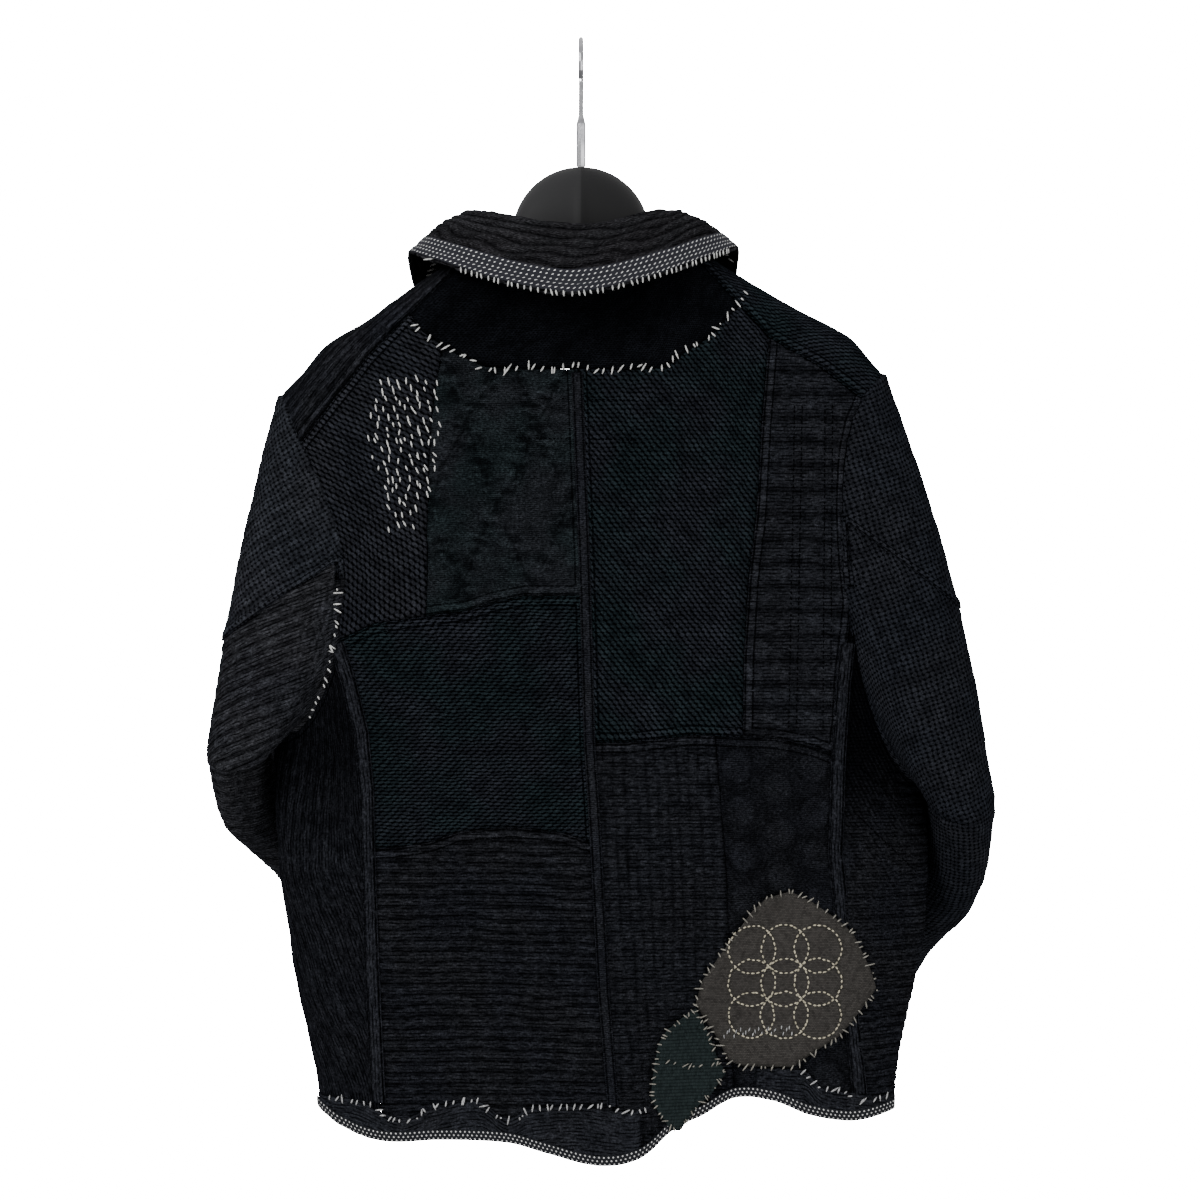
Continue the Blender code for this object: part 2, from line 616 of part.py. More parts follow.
def build_shoulders():
    """The pieces that lie over the shoulder, from the back seam to the front one."""
    jobs = (("shoulder_left", SHOULDER_LEFT, -1, ARMHOLE_LEFT), ("shoulder_right", SHOULDER_RIGHT, 1, ARMHOLE_RIGHT))
    for name, seam, hand, armhole in jobs:
        shoulder = front_frame(hand)[0]
        back = [(x, walk_of(x, z)) for x, z in dense(seam, 16)]
        front = [(x, -walk_of(x, z)) for x, z in dense(shoulder, 16)]
        neck = []
        for i in range(9):
            turn = 68 + (SHOULDER_FRONT_TURN - 68) * i / 8
            x, z = NECK_HALF_WIDTH * sin(radians(turn)) * hand, neck_z(turn * hand)
            neck.append((x, copysign(walk_of(x, z), 90 - turn)))
        neck[0], neck[-1] = back[0], front[0]
        tip = [(x, walk_of(x, z)) for x, z in dense(between(armhole, armhole[0][1], seam[-1][1]), 12)]
        arm = tip[:0:-1] + [(tip[0][0], 0.0)] + [(x, -walk) for x, walk in tip[1:]]
        arm[0], arm[-1] = back[-1], front[-1]
        region = patch(back, front, neck, arm)
        wall(name, lambda u, v, r=region: over_shoulder(*r(u, v)), 8, 8, "indigo_quilt", away_from_body,
             setback=0.45)


# Sleeves

def armhole_loop(armhole, hand):
    """The armhole as a closed line: 0 shoulder tip, 0.25 behind, 0.5 underarm, 0.75 in front.

    Its points crowd where it turns most, at the tip and under the arm. The
    sleeve head is lapped over the body, so the line stands one wall off it.
    """
    steps = 90

    def way_of(share, side):
        x, z = along(armhole, share)
        return (hand * QUARTER if share > 0.999 else girth_of(x, z, side)), z

    walks = {}
    for side in (1, -1):
        spots = [body_at_girth(*way_of(i / steps, side)) for i in range(steps + 1)]
        walks[side] = [0.0]
        for a, b in zip(spots, spots[1:]):
            walks[side].append(walks[side][-1] + (b - a).length)

    def loop(u):
        side = 1 if u <= 0.5 else -1
        half = u * 2 if u <= 0.5 else (1 - u) * 2
        walk = walks[side]
        wanted = (half - CROWDING * sin(2 * pi * half) / (2 * pi)) * walk[-1]
        index = clamp(bisect_left(walk, wanted), 1, steps)
        part = (wanted - walk[index - 1]) / (walk[index] - walk[index - 1])
        way, z = way_of((index - 1 + part) / steps, side)
        round_it = body_at_girth(way + 2, z) - body_at_girth(way - 2, z)
        out = round_it.cross(body_at_girth(way, z - 2) - body_at_girth(way, z + 2)).normalized()
        out = out if out.dot(Vector((hand, -side, 0.0))) > 0 else -out
        out = (out + Vector((hand, 0.0, 1.0)) * smooth(1 - half / 0.12)).normalized()
        ease = UNDERARM_EASE * smooth((half - 0.6) / 0.35)
        return body_at_girth(way, z) + out * (CLOTH + LAYER_GAP + ease)
    return loop


def sleeve_rings(rows, hand):
    """Closed sections below the armhole, each square to the sleeve's own middle line."""
    centres = [Vector(row[:3]) for row in rows]
    rings = []
    for i, (x, y, z, half_width, half_depth, turn) in enumerate(rows):
        centre = centres[i]
        ahead = centres[min(i + 1, len(rows) - 1)] - centres[max(i - 1, 0)]
        if i == 0:
            ahead = Vector((0.0, 0.28, -1.0))
        ahead.normalize()
        deep = Vector((sin(radians(turn)), cos(radians(turn)), 0.0))
        deep = (deep - ahead * deep.dot(ahead)).normalized()
        wide = deep.cross(ahead).normalized()
        wide = wide if wide.x * hand > 0 else -wide

        def ring(u, c=centre, a=wide, b=deep, w=half_width, d=half_depth):
            angle = u * 2 * pi
            return c + a * w * cos(angle) - b * d * sin(angle)
        rings.append(ring)
    return rings


def build_sleeves():
    jobs = (("left", ARMHOLE_LEFT, SLEEVE_LEFT, -1, CAP_LEFT),
            ("right", ARMHOLE_RIGHT, SLEEVE_RIGHT, 1, CAP_RIGHT))
    for name, armhole, rows, hand, cap in jobs:
        rings = [armhole_loop(armhole, hand)] + sleeve_rings(rows, hand)
        last = len(rings) - 1

        def tube(u, v, rings=rings, last=last, hand=hand):
            v = clamp(v, 0.0, last - 1e-6)
            i = int(v)
            t = v - i
            p1, p2 = rings[i](u), rings[i + 1](u)
            if i == 0:
                point = p1.lerp(p2, t)
                out = max(0.0, cos(u * 2 * pi)) + 0.8 * abs(sin(u * 2 * pi))
                lean = Vector((hand * 0.9 * max(0.0, cos(u * 2 * pi)), -copysign(1.0, sin(u * 2 * pi)), 0.0))
                return point + lean * SLEEVE_BULGE * out * sin(pi * t)
            p0 = rings[max(i - 1, 1)](u)
            p3 = rings[min(i + 2, last)](u)
            return 0.5 * (2 * p1 + (p2 - p0) * t + (2 * p0 - 5 * p1 + 4 * p2 - p3) * t ** 2
                          + (3 * p1 - p0 - 3 * p2 + p3) * t ** 3)

        def seam(u, cap=cap):
            """The slanting seam: far down on the outer side, at the armhole behind."""
            from_top = min(u % 1.0, 1 - u % 1.0)
            return CAP_END + cap * (1 - from_top / 0.25) if from_top < 0.2501 else 0.0

        def axis(v, tube=tube):
            return (tube(0.0, v) + tube(0.5, v)) / 2

        def cap_place(u, v, tube=tube, seam=seam):
            turn = (clamp(u - 0.5, -0.5, 0.5) * 0.5) % 1.0
            return tube(turn, v * seam(turn))

        def upper_place(u, v, tube=tube, seam=seam):
            start = seam(u)
            return tube(u, start + (1.0 - start) * v)

        def outside(point, tube=tube, axis=axis, last=last):
            nearest = min((axis(last * i / 30) for i in range(31)), key=lambda c: (c - point).length)
            return point - nearest

        wall("sleeve_%s_cap" % name, cap_place, 12, 4, "indigo_quilt", outside, runs_on=True,
             setback=0.5)
        wall("sleeve_%s_upper" % name, upper_place, 24, 6, "indigo_quilt", outside, wraps=True, runs_on=True,
             setback=0.5)
        for piece, start, end, count in BELOW_ELBOW[name]:
            wall("sleeve_%s_%s" % (name, piece), lambda u, v, a=start, b=end, t=tube: t(u, a + (b - a) * v),
                 24, count, "indigo_quilt", outside, wraps=True, runs_on=True, setback=0.5,
                 reach=JOINT_REACH / (end - start))


# Collar

def collar_depth(turn, back_y, front_y, run):
    """How far behind or in front of the neck's middle the collar lies at a turn round it."""
    if abs(turn) < COLLAR_SIDE_TURN:
        return back_y * cos(radians(turn))
    return back_y * cos(radians(COLLAR_SIDE_TURN)) + front_y * smooth((abs(turn) - COLLAR_SIDE_TURN + 4) / run)


def roll_point(turn):
    """The top of the collar, where it folds over, at a turn round the neck."""
    side = sin(radians(turn))
    rise = ROLL_SIDE_RISE * side ** 2 * (1.6 - 0.6 * side ** 2)
    fall = ROLL_FRONT_FALL * (max(0.0, abs(turn) - 88) / 47) ** 1.15
    y = collar_depth(turn, ROLL_BACK_Y, ROLL_FRONT_Y, 44)
    return Vector((COLLAR_MIDDLE_X + ROLL_HALF_WIDTH * side, y, ROLL_BACK_Z + rise - fall))


def edge_point(turn):
    """The collar's outer edge: low behind, resting on the shoulders, low again in front."""
    side = sin(radians(turn))
    rise = EDGE_SIDE_RISE * abs(side) ** 1.5 - EDGE_LEFT_DROP * max(0.0, -side)
    fall = EDGE_FRONT_FALL * smooth((abs(turn) - 80) / 55)
    y = collar_depth(turn, EDGE_BACK_Y, EDGE_FRONT_Y, 38)
    return Vector((COLLAR_MIDDLE_X + EDGE_HALF_WIDTH * side, y, EDGE_BACK_Z + rise - fall))


def turn_of_collar(u):
    return (u * 2 - 1) * NECK_FRONT_TURN


def stand_place(u, v):
    turn = turn_of_collar(u)
    low = neck_point(turn) + Vector((0, 0, 0.5))
    high = roll_point(turn)
    outward = Vector((high.x - COLLAR_MIDDLE_X, high.y, 0)).normalized()
    high = high - outward * STAND_INSET - Vector((0, 0, STAND_DROP))
    return high.lerp(low, v)


def fall_place(u, v):
    turn = turn_of_collar(u)
    top, edge = roll_point(turn), edge_point(turn)
    outward = Vector((top.x - COLLAR_MIDDLE_X, top.y, 0)).normalized()
    crown = CROWN * sin(pi * min(1.0, v * 1.15))
    return top.lerp(edge, v) + (outward * 0.5 + Vector((0, 0, 1))) * crown


def away_from_neck(point):
    return point - Vector((COLLAR_MIDDLE_X, 0.0, point.z - 14.0))


def build_collar():
    wall("collar_stand", stand_place, 22, 2, "dark_twill", away_from_neck, setback=0.0)
    wall("collar_fall", fall_place, 22, COLLAR_ROWS, "brown_black_quilt", away_from_neck, setback=0.0,
         relief=lambda u, v: RIB_HEIGHT if round(v * COLLAR_ROWS) % 2 and v < TAPE_START - 0.02 else 0.0)
    wall("collar_tape", lambda u, v: fall_place(u, TAPE_START + (1 - TAPE_START) * v), 22, 2, "dotted_tape", away_from_neck,
         lift=LAYER_GAP + TAPE, thick=TAPE, setback=0.0)


# Strips, hem and patches, all made from the body's own points and moved out

def strip_along(name, seam, half_width):
    line = dense(seam, 40)

    def place(u, v):
        x, z = along(line, v)
        ahead, behind = along(line, min(1.0, v + 0.03)), along(line, max(0.0, v - 0.03))
        dx, dz = ahead[0] - behind[0], ahead[1] - behind[1]
        size = hypot(dx, dz)
        shift = (u - 0.5) * 2 * half_width
        return body_at_girth(girth_of(x - dz / size * shift, z + dx / size * shift), z + dx / size * shift)
    wall(name, place, 1, 20, "indigo_quilt", away_from_body, lift=RIB_HEIGHT + LAYER_GAP + 0.2 + STRIP,
         thick=STRIP, setback=0.0)


def build_seam_strips():
    facing_at = lambda x: read(FACING_TOP, x)
    strip_along("seam_centre_back", between(CENTRE, -268, facing_at(25) + 3), CENTRE_STRIP)
    strip_along("seam_side_left", between(SIDE_LEFT, -492, facing_at(-158) + 6), SIDE_STRIP)
    strip_along("seam_side_right", between(SIDE_RIGHT, -480, -672), SIDE_STRIP)


def hem_band(step, v, top_of, drop):
    """A place on a band along the hem: step counts even lengths round the body."""
    way = HEM_START + HEM_STEP * step
    middle, half = middle_and_half(-855)
    x = middle + half * sin(way / QUARTER * pi / 2)
    low = read(HEM, x) - drop
    z = top_of(x) + (low - top_of(x)) * v
    return body_at_girth(way, z)


def build_hem():
    base = RIB_HEIGHT + LAYER_GAP + 0.1
    for name, first, last in (("hem_facing_left", 0, 22), ("hem_facing_right", 28, HEM_STEPS)):
        wall(name, lambda u, v, a=first, b=last: hem_band(a + (b - a) * u, v, lambda x: read(FACING_TOP, x), 0.0),
             last - first, 2, "brown_black_quilt", away_from_body, lift=base + FACING, thick=FACING, setback=0.0)
    level = base + FACING + LAYER_GAP + TAPE
    wall("hem_tape", lambda u, v: hem_band(HEM_STEPS * u, v, lambda x: read(HEM, x) + 7.0, 1.0),
         HEM_STEPS, 1, "dotted_tape", away_from_body, lift=level, thick=TAPE, setback=0.0)


def patch_piece(name, centre, outline, finish, level):
    """A patch on the back: rings that shrink from its outline to its middle."""
    spokes = 24
    closed = list(outline) + [outline[0]]
    bm = bmesh.new()
    skins = []
    for height in (level + PATCH, level):
        rings = []
        for share in (1.0, 0.7, 0.35):
            ring = []
            for i in range(spokes):
                x, z = along(closed, i / spokes)
                x, z = centre[0] + (x - centre[0]) * share, centre[1] + (z - centre[1]) * share
                ring.append(bm.verts.new(lifted(x, z, height)))
            rings.append(ring)
        skins.append((rings, bm.verts.new(lifted(*centre, height))))
    for rings, hub in skins:
        for big, small in zip(rings, rings[1:]):
            for i in range(spokes):
                j = (i + 1) % spokes
                bm.faces.new((big[i], big[j], small[j], small[i]))
        for i in range(spokes):
            bm.faces.new((rings[-1][i], rings[-1][(i + 1) % spokes], hub))
    outer, inner = skins[0][0][0], skins[1][0][0]
    for i in range(spokes):
        j = (i + 1) % spokes
        bm.faces.new((outer[i], inner[i], inner[j], outer[j]))
    keep(name, bm, finish)


def lifted(x, z, height):
    """A point of the back moved out along the surface's own normal."""
    here = body_point(x, z, 1)
    across = body_point(x + 1, z, 1) - body_point(x - 1, z, 1)
    down = body_point(x, z - 1, 1) - body_point(x, z + 1, 1)
    normal = across.cross(down).normalized()
    normal = normal if normal.y < 0 else -normal
    return here + normal * height


def build_patches():
    over_strip = RIB_HEIGHT + 2 * LAYER_GAP + 0.2
    over_tape = RIB_HEIGHT + 3 * LAYER_GAP + FACING + TAPE
    patch_piece("patch_grey", GREY_CENTRE, GREY_PATCH, "grey_patch_cloth", over_strip)
    patch_piece("patch_green", GREEN_CENTRE, GREEN_PATCH, "green_patch_cloth", over_tape)


# Buttons

def build_buttons():
    for row, z in enumerate(BUTTON_ROWS):
        for column, x in (("left", -BUTTON_X), ("right", BUTTON_X)):
            rise = front_lift(-1)(x)
            near = body_point(x, z, -1)
            across = body_point(x + 6, z, -1) - body_point(x - 6, z, -1)
            down = body_point(x, z - 6, -1) - body_point(x, z + 6, -1)
            normal = across.cross(down).normalized()
            normal = normal if normal.y > 0 else -normal
            bm = bmesh.new()
            bmesh.ops.create_cone(bm, cap_ends=True, segments=16, radius1=BUTTON_RADIUS,
                                  radius2=BUTTON_RADIUS, depth=BUTTON_THICKNESS)
            face = max(bm.faces, key=lambda f: f.calc_center_median().z)
            bmesh.ops.inset_region(bm, faces=[face], thickness=2.6, depth=0.0)
            bmesh.ops.translate(bm, verts=face.verts, vec=(0, 0, -1.0))
            seat = near + normal * (rise + 0.85 + BUTTON_THICKNESS / 2)
            turn = Vector((0, 0, 1)).rotation_difference(normal).to_matrix()
            bmesh.ops.rotate(bm, verts=bm.verts, cent=(0, 0, 0), matrix=turn)
            bmesh.ops.translate(bm, verts=bm.verts, vec=seat)
            keep("button_%s_%d" % (column, row + 1), bm, "horn", sharp=30.0)


# Hanger

def hanger_top(x):
    """Top line of the hanger: a round head between two arms that follow the shoulders."""
    size = abs(x)
    if size <= HEAD_RADIUS:
        return HEAD_TOP_Z - HEAD_RADIUS + sqrt(HEAD_RADIUS ** 2 - size ** 2)
    low = HEAD_TOP_Z - HEAD_RADIUS - 4
    start_x = NECK_HALF_WIDTH + NECK_GAP
    start = under_ridge(copysign(start_x, x))
    if size < start_x:
        return low + (start - low) * smooth((size - HEAD_RADIUS) / (start_x - HEAD_RADIUS))
    return under_ridge(x)


def under_ridge(x):
    """Just below the shoulder's cloth, which is measured square to its slope."""
    slope = (read(RIDGE, x + 2) - read(RIDGE, x - 2)) / 4
    return read(RIDGE, x) - (CLOTH + 0.9) * hypot(1.0, slope)


def build_hanger():
    xs = [-x for x in HANGER_STATIONS[:0:-1]] + list(HANGER_STATIONS)
    sides = HANGER_SIDES
    bm = bmesh.new()
    rings = []
    for x in xs:
        size = abs(x)
        top = hanger_top(x)
        in_head = smooth((HEAD_RADIUS + 30 - size) / HEAD_BLEND)
        half_height = ARM_HALF_HEIGHT + (HEAD_RADIUS * 0.45 - ARM_HALF_HEIGHT) * in_head
        if size < HEAD_RADIUS:
            half_height += (sqrt(HEAD_RADIUS ** 2 - size ** 2)) * 0.42
        end = sqrt(max(0.02, 1 - (size / (ARM_END_X + 1.0)) ** 16))
        middle, half = middle_and_half(top)
        across = (1 - min(1.0, abs(x - middle) / half) ** SQUARENESS) ** (1 / SQUARENESS)
        arm_depth = min(ARM_HALF_DEPTH, ARM_FILL * across)
        half_depth = (arm_depth + (HEAD_HALF_DEPTH - arm_depth) * in_head) * end
        ring = []
        for i in range(sides):
            a = 2 * pi * i / sides
            ring.append(bm.verts.new((x, half_depth * sin(a), top - half_height + half_height * cos(a) * end)))
        rings.append(ring)
    for left, right in zip(rings, rings[1:]):
        for i in range(sides):
            j = (i + 1) % sides
            bm.faces.new((left[i], right[i], right[j], left[j]))
    bm.faces.new(rings[0])
    bm.faces.new(rings[-1][::-1])
    keep("hanger_body", bm, "hanger_plastic", sharp=35.0)


def build_hook():
    """Round wire: up from the head, round one side, over the top, ending open."""
    centre_z = WIRE_RADIUS - HOOK_RADIUS
    points = [(0.0, HEAD_TOP_Z + 0.4), (0.0, -80.0), (0.0, -66.0), (2.5, -58.0)]
    for i in range(18):
        angle = radians(-62 + i * 15.8)
        points.append((HOOK_RADIUS * cos(angle), centre_z + HOOK_RADIUS * sin(angle)))
    curve = bpy.data.curves.new("hook_wire", "CURVE")
    curve.dimensions = "3D"
    curve.bevel_depth = WIRE_RADIUS * MM
    curve.bevel_resolution = 2
    curve.use_fill_caps = True
    spline = curve.splines.new("POLY")
    spline.points.add(len(points) - 1)
    for point, (y, z) in zip(spline.points, points):
        point.co = (0.0, y * MM, z * MM, 1.0)
        point.radius = FERRULE_RADIUS / WIRE_RADIUS if z < FERRULE_TOP_Z else 1.0
    curve.materials.append(finish_of("chrome"))
    item = bpy.data.objects.new("hanger_hook", curve)
    bpy.context.collection.objects.link(item)


def main():
    for item in list(bpy.data.objects):
        bpy.data.objects.remove(item, do_unlink=True)
    build_hanger()
    build_hook()
    build_collar()
    build_back()
    build_shoulders()
    build_sides()
    build_fronts()
    build_lapels()
    build_buttons()
    build_sleeves()
    build_seam_strips()
    build_hem()
    build_patches()


main()
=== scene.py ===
# %% [markdown]
# # A patchwork pea coat on its hanger, seen from behind
#
# The coat is pieced from a dozen indigo-black cottons: waffle and rice-stitch
# weaves, rows of running stitch, quilted diamonds, plain twill. Each cut piece
# below is its own thin sheet of cloth. All of them are read off one smooth
# surface, the body of the coat, so that neighbours meet at their seams and
# whatever is sewn on top follows what lies under it.
#
# The surface is worked out with arrays, which is quick enough for the fine grids
# that creases and quilting need. Lengths here are in millimetres, and MM turns
# them into Blender's metres when a mesh is made.

# %% The frame and the tools
from math import cos, pi, radians, sin

import bmesh
import bpy
import numpy as np
from mathutils import Matrix, Vector


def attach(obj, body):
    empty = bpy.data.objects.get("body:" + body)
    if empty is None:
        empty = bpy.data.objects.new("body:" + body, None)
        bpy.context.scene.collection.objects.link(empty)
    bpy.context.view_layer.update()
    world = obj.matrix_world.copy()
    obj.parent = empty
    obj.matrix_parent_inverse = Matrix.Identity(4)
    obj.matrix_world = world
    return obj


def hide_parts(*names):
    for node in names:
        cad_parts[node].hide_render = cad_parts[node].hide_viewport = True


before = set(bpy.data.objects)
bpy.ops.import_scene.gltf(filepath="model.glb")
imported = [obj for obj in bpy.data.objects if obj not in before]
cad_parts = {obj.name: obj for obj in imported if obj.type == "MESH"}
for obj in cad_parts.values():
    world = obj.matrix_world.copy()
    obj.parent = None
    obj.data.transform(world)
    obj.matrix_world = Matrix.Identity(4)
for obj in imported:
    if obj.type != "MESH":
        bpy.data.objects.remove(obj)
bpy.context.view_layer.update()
MM = 0.001
print("nodes in the frame:", len(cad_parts))

# %% [markdown]
# ## The outline, as short tables
#
# A coat that hangs is nearly flat, so its shape is told by a few lines seen from
# behind: the shoulder line, the two side edges, the hem, and the depth from back
# to front. Each row of a table is one point, and a smooth curve joins them.

# %% Tables of the coat's body
# Shoulder line: x, height
RIDGE = ((-290, -345), (-241, -284), (-222, -264), (-202, -242), (-172, -224), (-138, -199), (-88, -165),
         (-50, -142), (0, -130), (50, -141), (88, -162), (124, -186), (172, -214), (203, -230),
         (219, -241), (242, -268), (256, -286), (310, -345))

# Side edges: height, x of the left edge, x of the right edge
SIDES = ((-150, -247, 272), (-300, -247, 272), (-553, -246, 274), (-659, -241, 277), (-713, -233, 274),
         (-754, -227, 266), (-793, -218, 257), (-826, -211, 252), (-900, -203, 248))

# Half depth: height, behind the middle, in front of the middle
DEPTHS = ((-150, 47, 47), (-260, 50, 48), (-400, 54, 50), (-560, 56, 52), (-700, 53, 50), (-900, 50, 47))

# Lower edge behind: x, height
HEM = ((-207, -846), (-185, -862), (-157, -870), (-111, -869), (-58, -871), (-28, -878), (15, -887),
       (47, -881), (71, -861), (94, -850), (120, -837), (152, -839), (180, -850), (214, -855), (250, -848))

# Folds: side (1 behind, -1 in front), start x and z, end x and z, half width, height outwards
FOLDS = (
    (1, 18, -640, 16, -900, 42, 9.0),
    (1, 122, -760, 128, -900, 34, -9.0),
    (1, -205, -560, -200, -640, 17, -11.0),
    (1, -222, -640, -196, -880, 16, 5.0),
    (1, -120, -560, -60, -850, 40, -5.0),
    (1, -150, -700, -150, -890, 22, 5.0),
    (1, 236, -600, 150, -700, 18, -6.0),
    (1, 214, -640, 232, -880, 20, 5.0),
    (1, -150, -330, -60, -420, 26, 4.0),
    (1, 165, -330, 110, -440, 26, 4.0),
    (1, 60, -300, 70, -500, 36, -4.0),
    (1, -70, -470, -30, -620, 30, 4.0),
    (-1, -120, -420, -140, -860, 34, 8.0),
    (-1, 120, -430, 150, -860, 34, 8.0),
    (-1, -190, -560, -180, -860, 22, -6.0),
    (-1, 196, -580, 190, -860, 22, -6.0),
)
# Creases that the cloth has taken in wear, told in the same way
CREASES = (
    (1, -206, -452, -168, -560, 9, 2.2), (1, -186, -548, -206, -622, 7, -2.4), (1, -176, -600, -190, -668, 6, 2.0),
    (1, -214, -590, -222, -700, 6, -2.2), (1, -200, -700, -206, -800, 7, 2.0), (1, -176, -760, -182, -850, 6, -1.6),
    (1, 92, -552, 96, -588, 5, -2.0), (1, 88, -556, 84, -600, 4, 1.6), (1, 204, -500, 176, -596, 8, 1.8),
    (1, 226, -560, 214, -660, 7, -2.0), (1, 238, -610, 232, -720, 6, 1.8), (1, 210, -690, 216, -800, 7, -1.6),
    (1, 30, -590, 24, -820, 10, -1.8), (1, 60, -600, 66, -780, 9, 1.6), (1, 92, -700, 82, -850, 8, -1.6),
    (1, 130, -600, 122, -700, 9, 1.4), (1, -96, -520, -88, -610, 10, 1.5), (1, -50, -470, -60, -560, 9, -1.4),
    (1, -136, -480, -128, -600, 10, -1.3), (1, -70, -300, -84, -420, 7, -1.6), (1, -38, -290, -30, -400, 8, 1.4),
    (1, 20, -330, 34, -520, 12, 1.4), (1, 96, -330, 84, -500, 12, -1.4), (1, 168, -300, 160, -440, 9, -1.3),
    (1, 190, -320, 182, -430, 8, 1.4), (1, -170, -300, -160, -420, 10, 1.4), (1, -30, -650, -44, -830, 16, 1.6),
    (1, -104, -650, -96, -840, 14, -1.6), (1, -10, -180, -14, -255, 9, -1.6), (1, 40, -190, 48, -258, 8, 1.4),
    (1, -60, -190, -72, -250, 8, 1.4), (1, 84, -200, 96, -246, 7, -1.3), (1, -190, -260, -166, -300, 8, -1.2),
    (-1, -60, -420, -70, -700, 12, 1.8), (-1, 40, -460, 52, -760, 12, -1.8), (-1, 150, -330, 120, -470, 10, 2.0),
    (-1, -150, -330, -120, -470, 10, -2.0), (-1, -200, -480, -170, -620, 8, 2.2), (-1, 214, -480, 186, -620, 8, -2.2),
    (-1, 0, -560, 10, -840, 10, 1.6), (-1, 90, -600, 100, -840, 9, 1.6), (-1, -96, -620, -90, -840, 9, 1.6),
    (-1, -30, -400, 30, -430, 8, 1.5), (-1, 60, -640, 58, -850, 8, -1.5), (-1, -160, -700, -164, -850, 8, 1.6),
)
print("folds and creases:", len(FOLDS) + len(CREASES))

# %% [markdown]
# ## The seams of the back
#
# Two neighbours share one seam, so each seam is written down once and read by
# both. It could be cut from the finished surface instead, but a table of places
# read off the photograph is easier to check against it.

# %% The seams: x and height along each
ARMHOLE_LEFT = ((-241, -284), (-221, -325), (-207, -356), (-196, -385), (-190, -410), (-189, -440), (-191, -470),
                (-195, -495), (-203, -519), (-212, -535), (-222, -546), (-234, -552), (-246, -555))
ARMHOLE_RIGHT = ((242, -268), (223, -289), (214, -310), (209, -335), (207, -375), (209, -416), (213, -452),
                 (218, -486), (225, -519), (233, -544), (244, -566), (256, -582), (273, -592))
SHOULDER_LEFT = ((-81.6, -168), (-135, -221), (-168, -255), (-222, -323))
SHOULDER_RIGHT = ((81.6, -165.4), (126, -214), (148, -240), (189, -263), (223, -289))
YOKE = ((-135, -221), (-124, -236), (-95, -254), (-75, -263), (-40, -265), (-3, -265), (37, -266),
        (66, -264), (84, -251), (104, -238), (114, -226), (126, -214))
CENTRE = ((-3, -265), (3, -415), (7, -558), (12, -637), (18, -756), (25, -838), (26, -886))
WELT_LEFT = ((-192.4, -479), (-162, -465), (-114, -458), (-89, -455), (-69, -448), (-44, -443), (4, -443))
LOW_LEFT = ((-167, -642), (-145, -641), (-119, -637), (-94, -628), (-54, -624), (-16, -628), (12, -637))
RICE_LEFT = ((-109, -246), (-117, -305), (-120, -368), (-121, -459))
SIDE_LEFT = ((-192.4, -479), (-182, -511), (-172, -551), (-168, -595), (-167, -642), (-164, -721), (-160, -812),
             (-157, -870))
WAFFLE_RIGHT = ((148, -240), (142, -312), (138, -377), (132, -429), (128, -490), (127, -554))
LOW_RIGHT = ((7, -558), (36, -558), (65, -555), (86, -552), (127, -554), (152, -555), (181, -561), (202, -569))
SIDE_RIGHT = ((213, -452), (206, -509), (202, -569), (200, -642), (207, -721), (217, -812), (221, -855))
GRID_RIGHT = ((105, -553), (113, -642), (117, -729), (121, -837))
print("the back is", ARMHOLE_RIGHT[0][0] - ARMHOLE_LEFT[0][0], "mm wide from armhole to armhole")

# %% [markdown]
# ## The surface
#
# Seen from above, the body of the coat is a flattened ellipse. Its half depth
# shrinks to nothing at the side edges, and it rounds over at the shoulders. A
# place on it can be given by x and height, or by the way round it and height,
# where one QUARTER is the right side edge and two are the centre front.

# %% Smooth curves through tables
QUARTER = 400.0         # way round the body from the middle of the back to a side edge
ROUNDING = 45.0         # height in which the shoulder line rounds over
SQUARENESS = 2.8        # power of the ellipse; more makes the sides squarer
MIDDLE_X = 14.0         # the body hangs a little to the right of the hook
CLOTH = 2.2             # thickness of the quilted cottons


def curve(table, column=1):
    """A smooth curve through a table, as a function that takes arrays."""
    rows = np.array(sorted(table), float)
    keys, values = rows[:, 0], rows[:, column]
    slopes = np.gradient(values, keys)
    slopes[1:-1] = (values[2:] - values[:-2]) / (keys[2:] - keys[:-2])

    def at(key):
        key = np.clip(key, keys[0], keys[-1])
        i = np.clip(np.searchsorted(keys, key) - 1, 0, len(keys) - 2)
        span = keys[i + 1] - keys[i]
        t = (key - keys[i]) / span
        return ((2 * t ** 3 - 3 * t ** 2 + 1) * values[i] + (t ** 3 - 2 * t ** 2 + t) * span * slopes[i]
                + (3 * t ** 2 - 2 * t ** 3) * values[i + 1] + (t ** 3 - t ** 2) * span * slopes[i + 1])
    return at


ridge = curve(RIDGE)
left_edge, right_edge = curve(SIDES, 1), curve(SIDES, 2)
back_depth, front_depth = curve(DEPTHS, 1), curve(DEPTHS, 2)
hem_height = curve(HEM)
print("shoulder line at the middle:", float(ridge(0.0)), "mm")


# %% The body of the coat
RUN_OUT, FADE = 0.25, 0.4       # how far a fold runs on past its ends and in what share of it it fades


def smooth(value):
    t = np.clip(value, 0.0, 1.0)
    return t * t * (3.0 - 2.0 * t)


def trough(x, z, x0, z0, x1, z1, width, height):
    """One fold: a soft ridge, or a trough if its height is negative, that runs out at both ends."""
    length = np.hypot(x1 - x0, z1 - z0)
    t = ((x - x0) * (x1 - x0) + (z - z0) * (z1 - z0)) / length ** 2
    across = ((x - x0) * (z1 - z0) - (z - z0) * (x1 - x0)) / length
    ends = smooth((t + RUN_OUT) / FADE) * smooth((1 + RUN_OUT - t) / FADE)
    return height * ends * np.exp(-(across / width) ** 2)


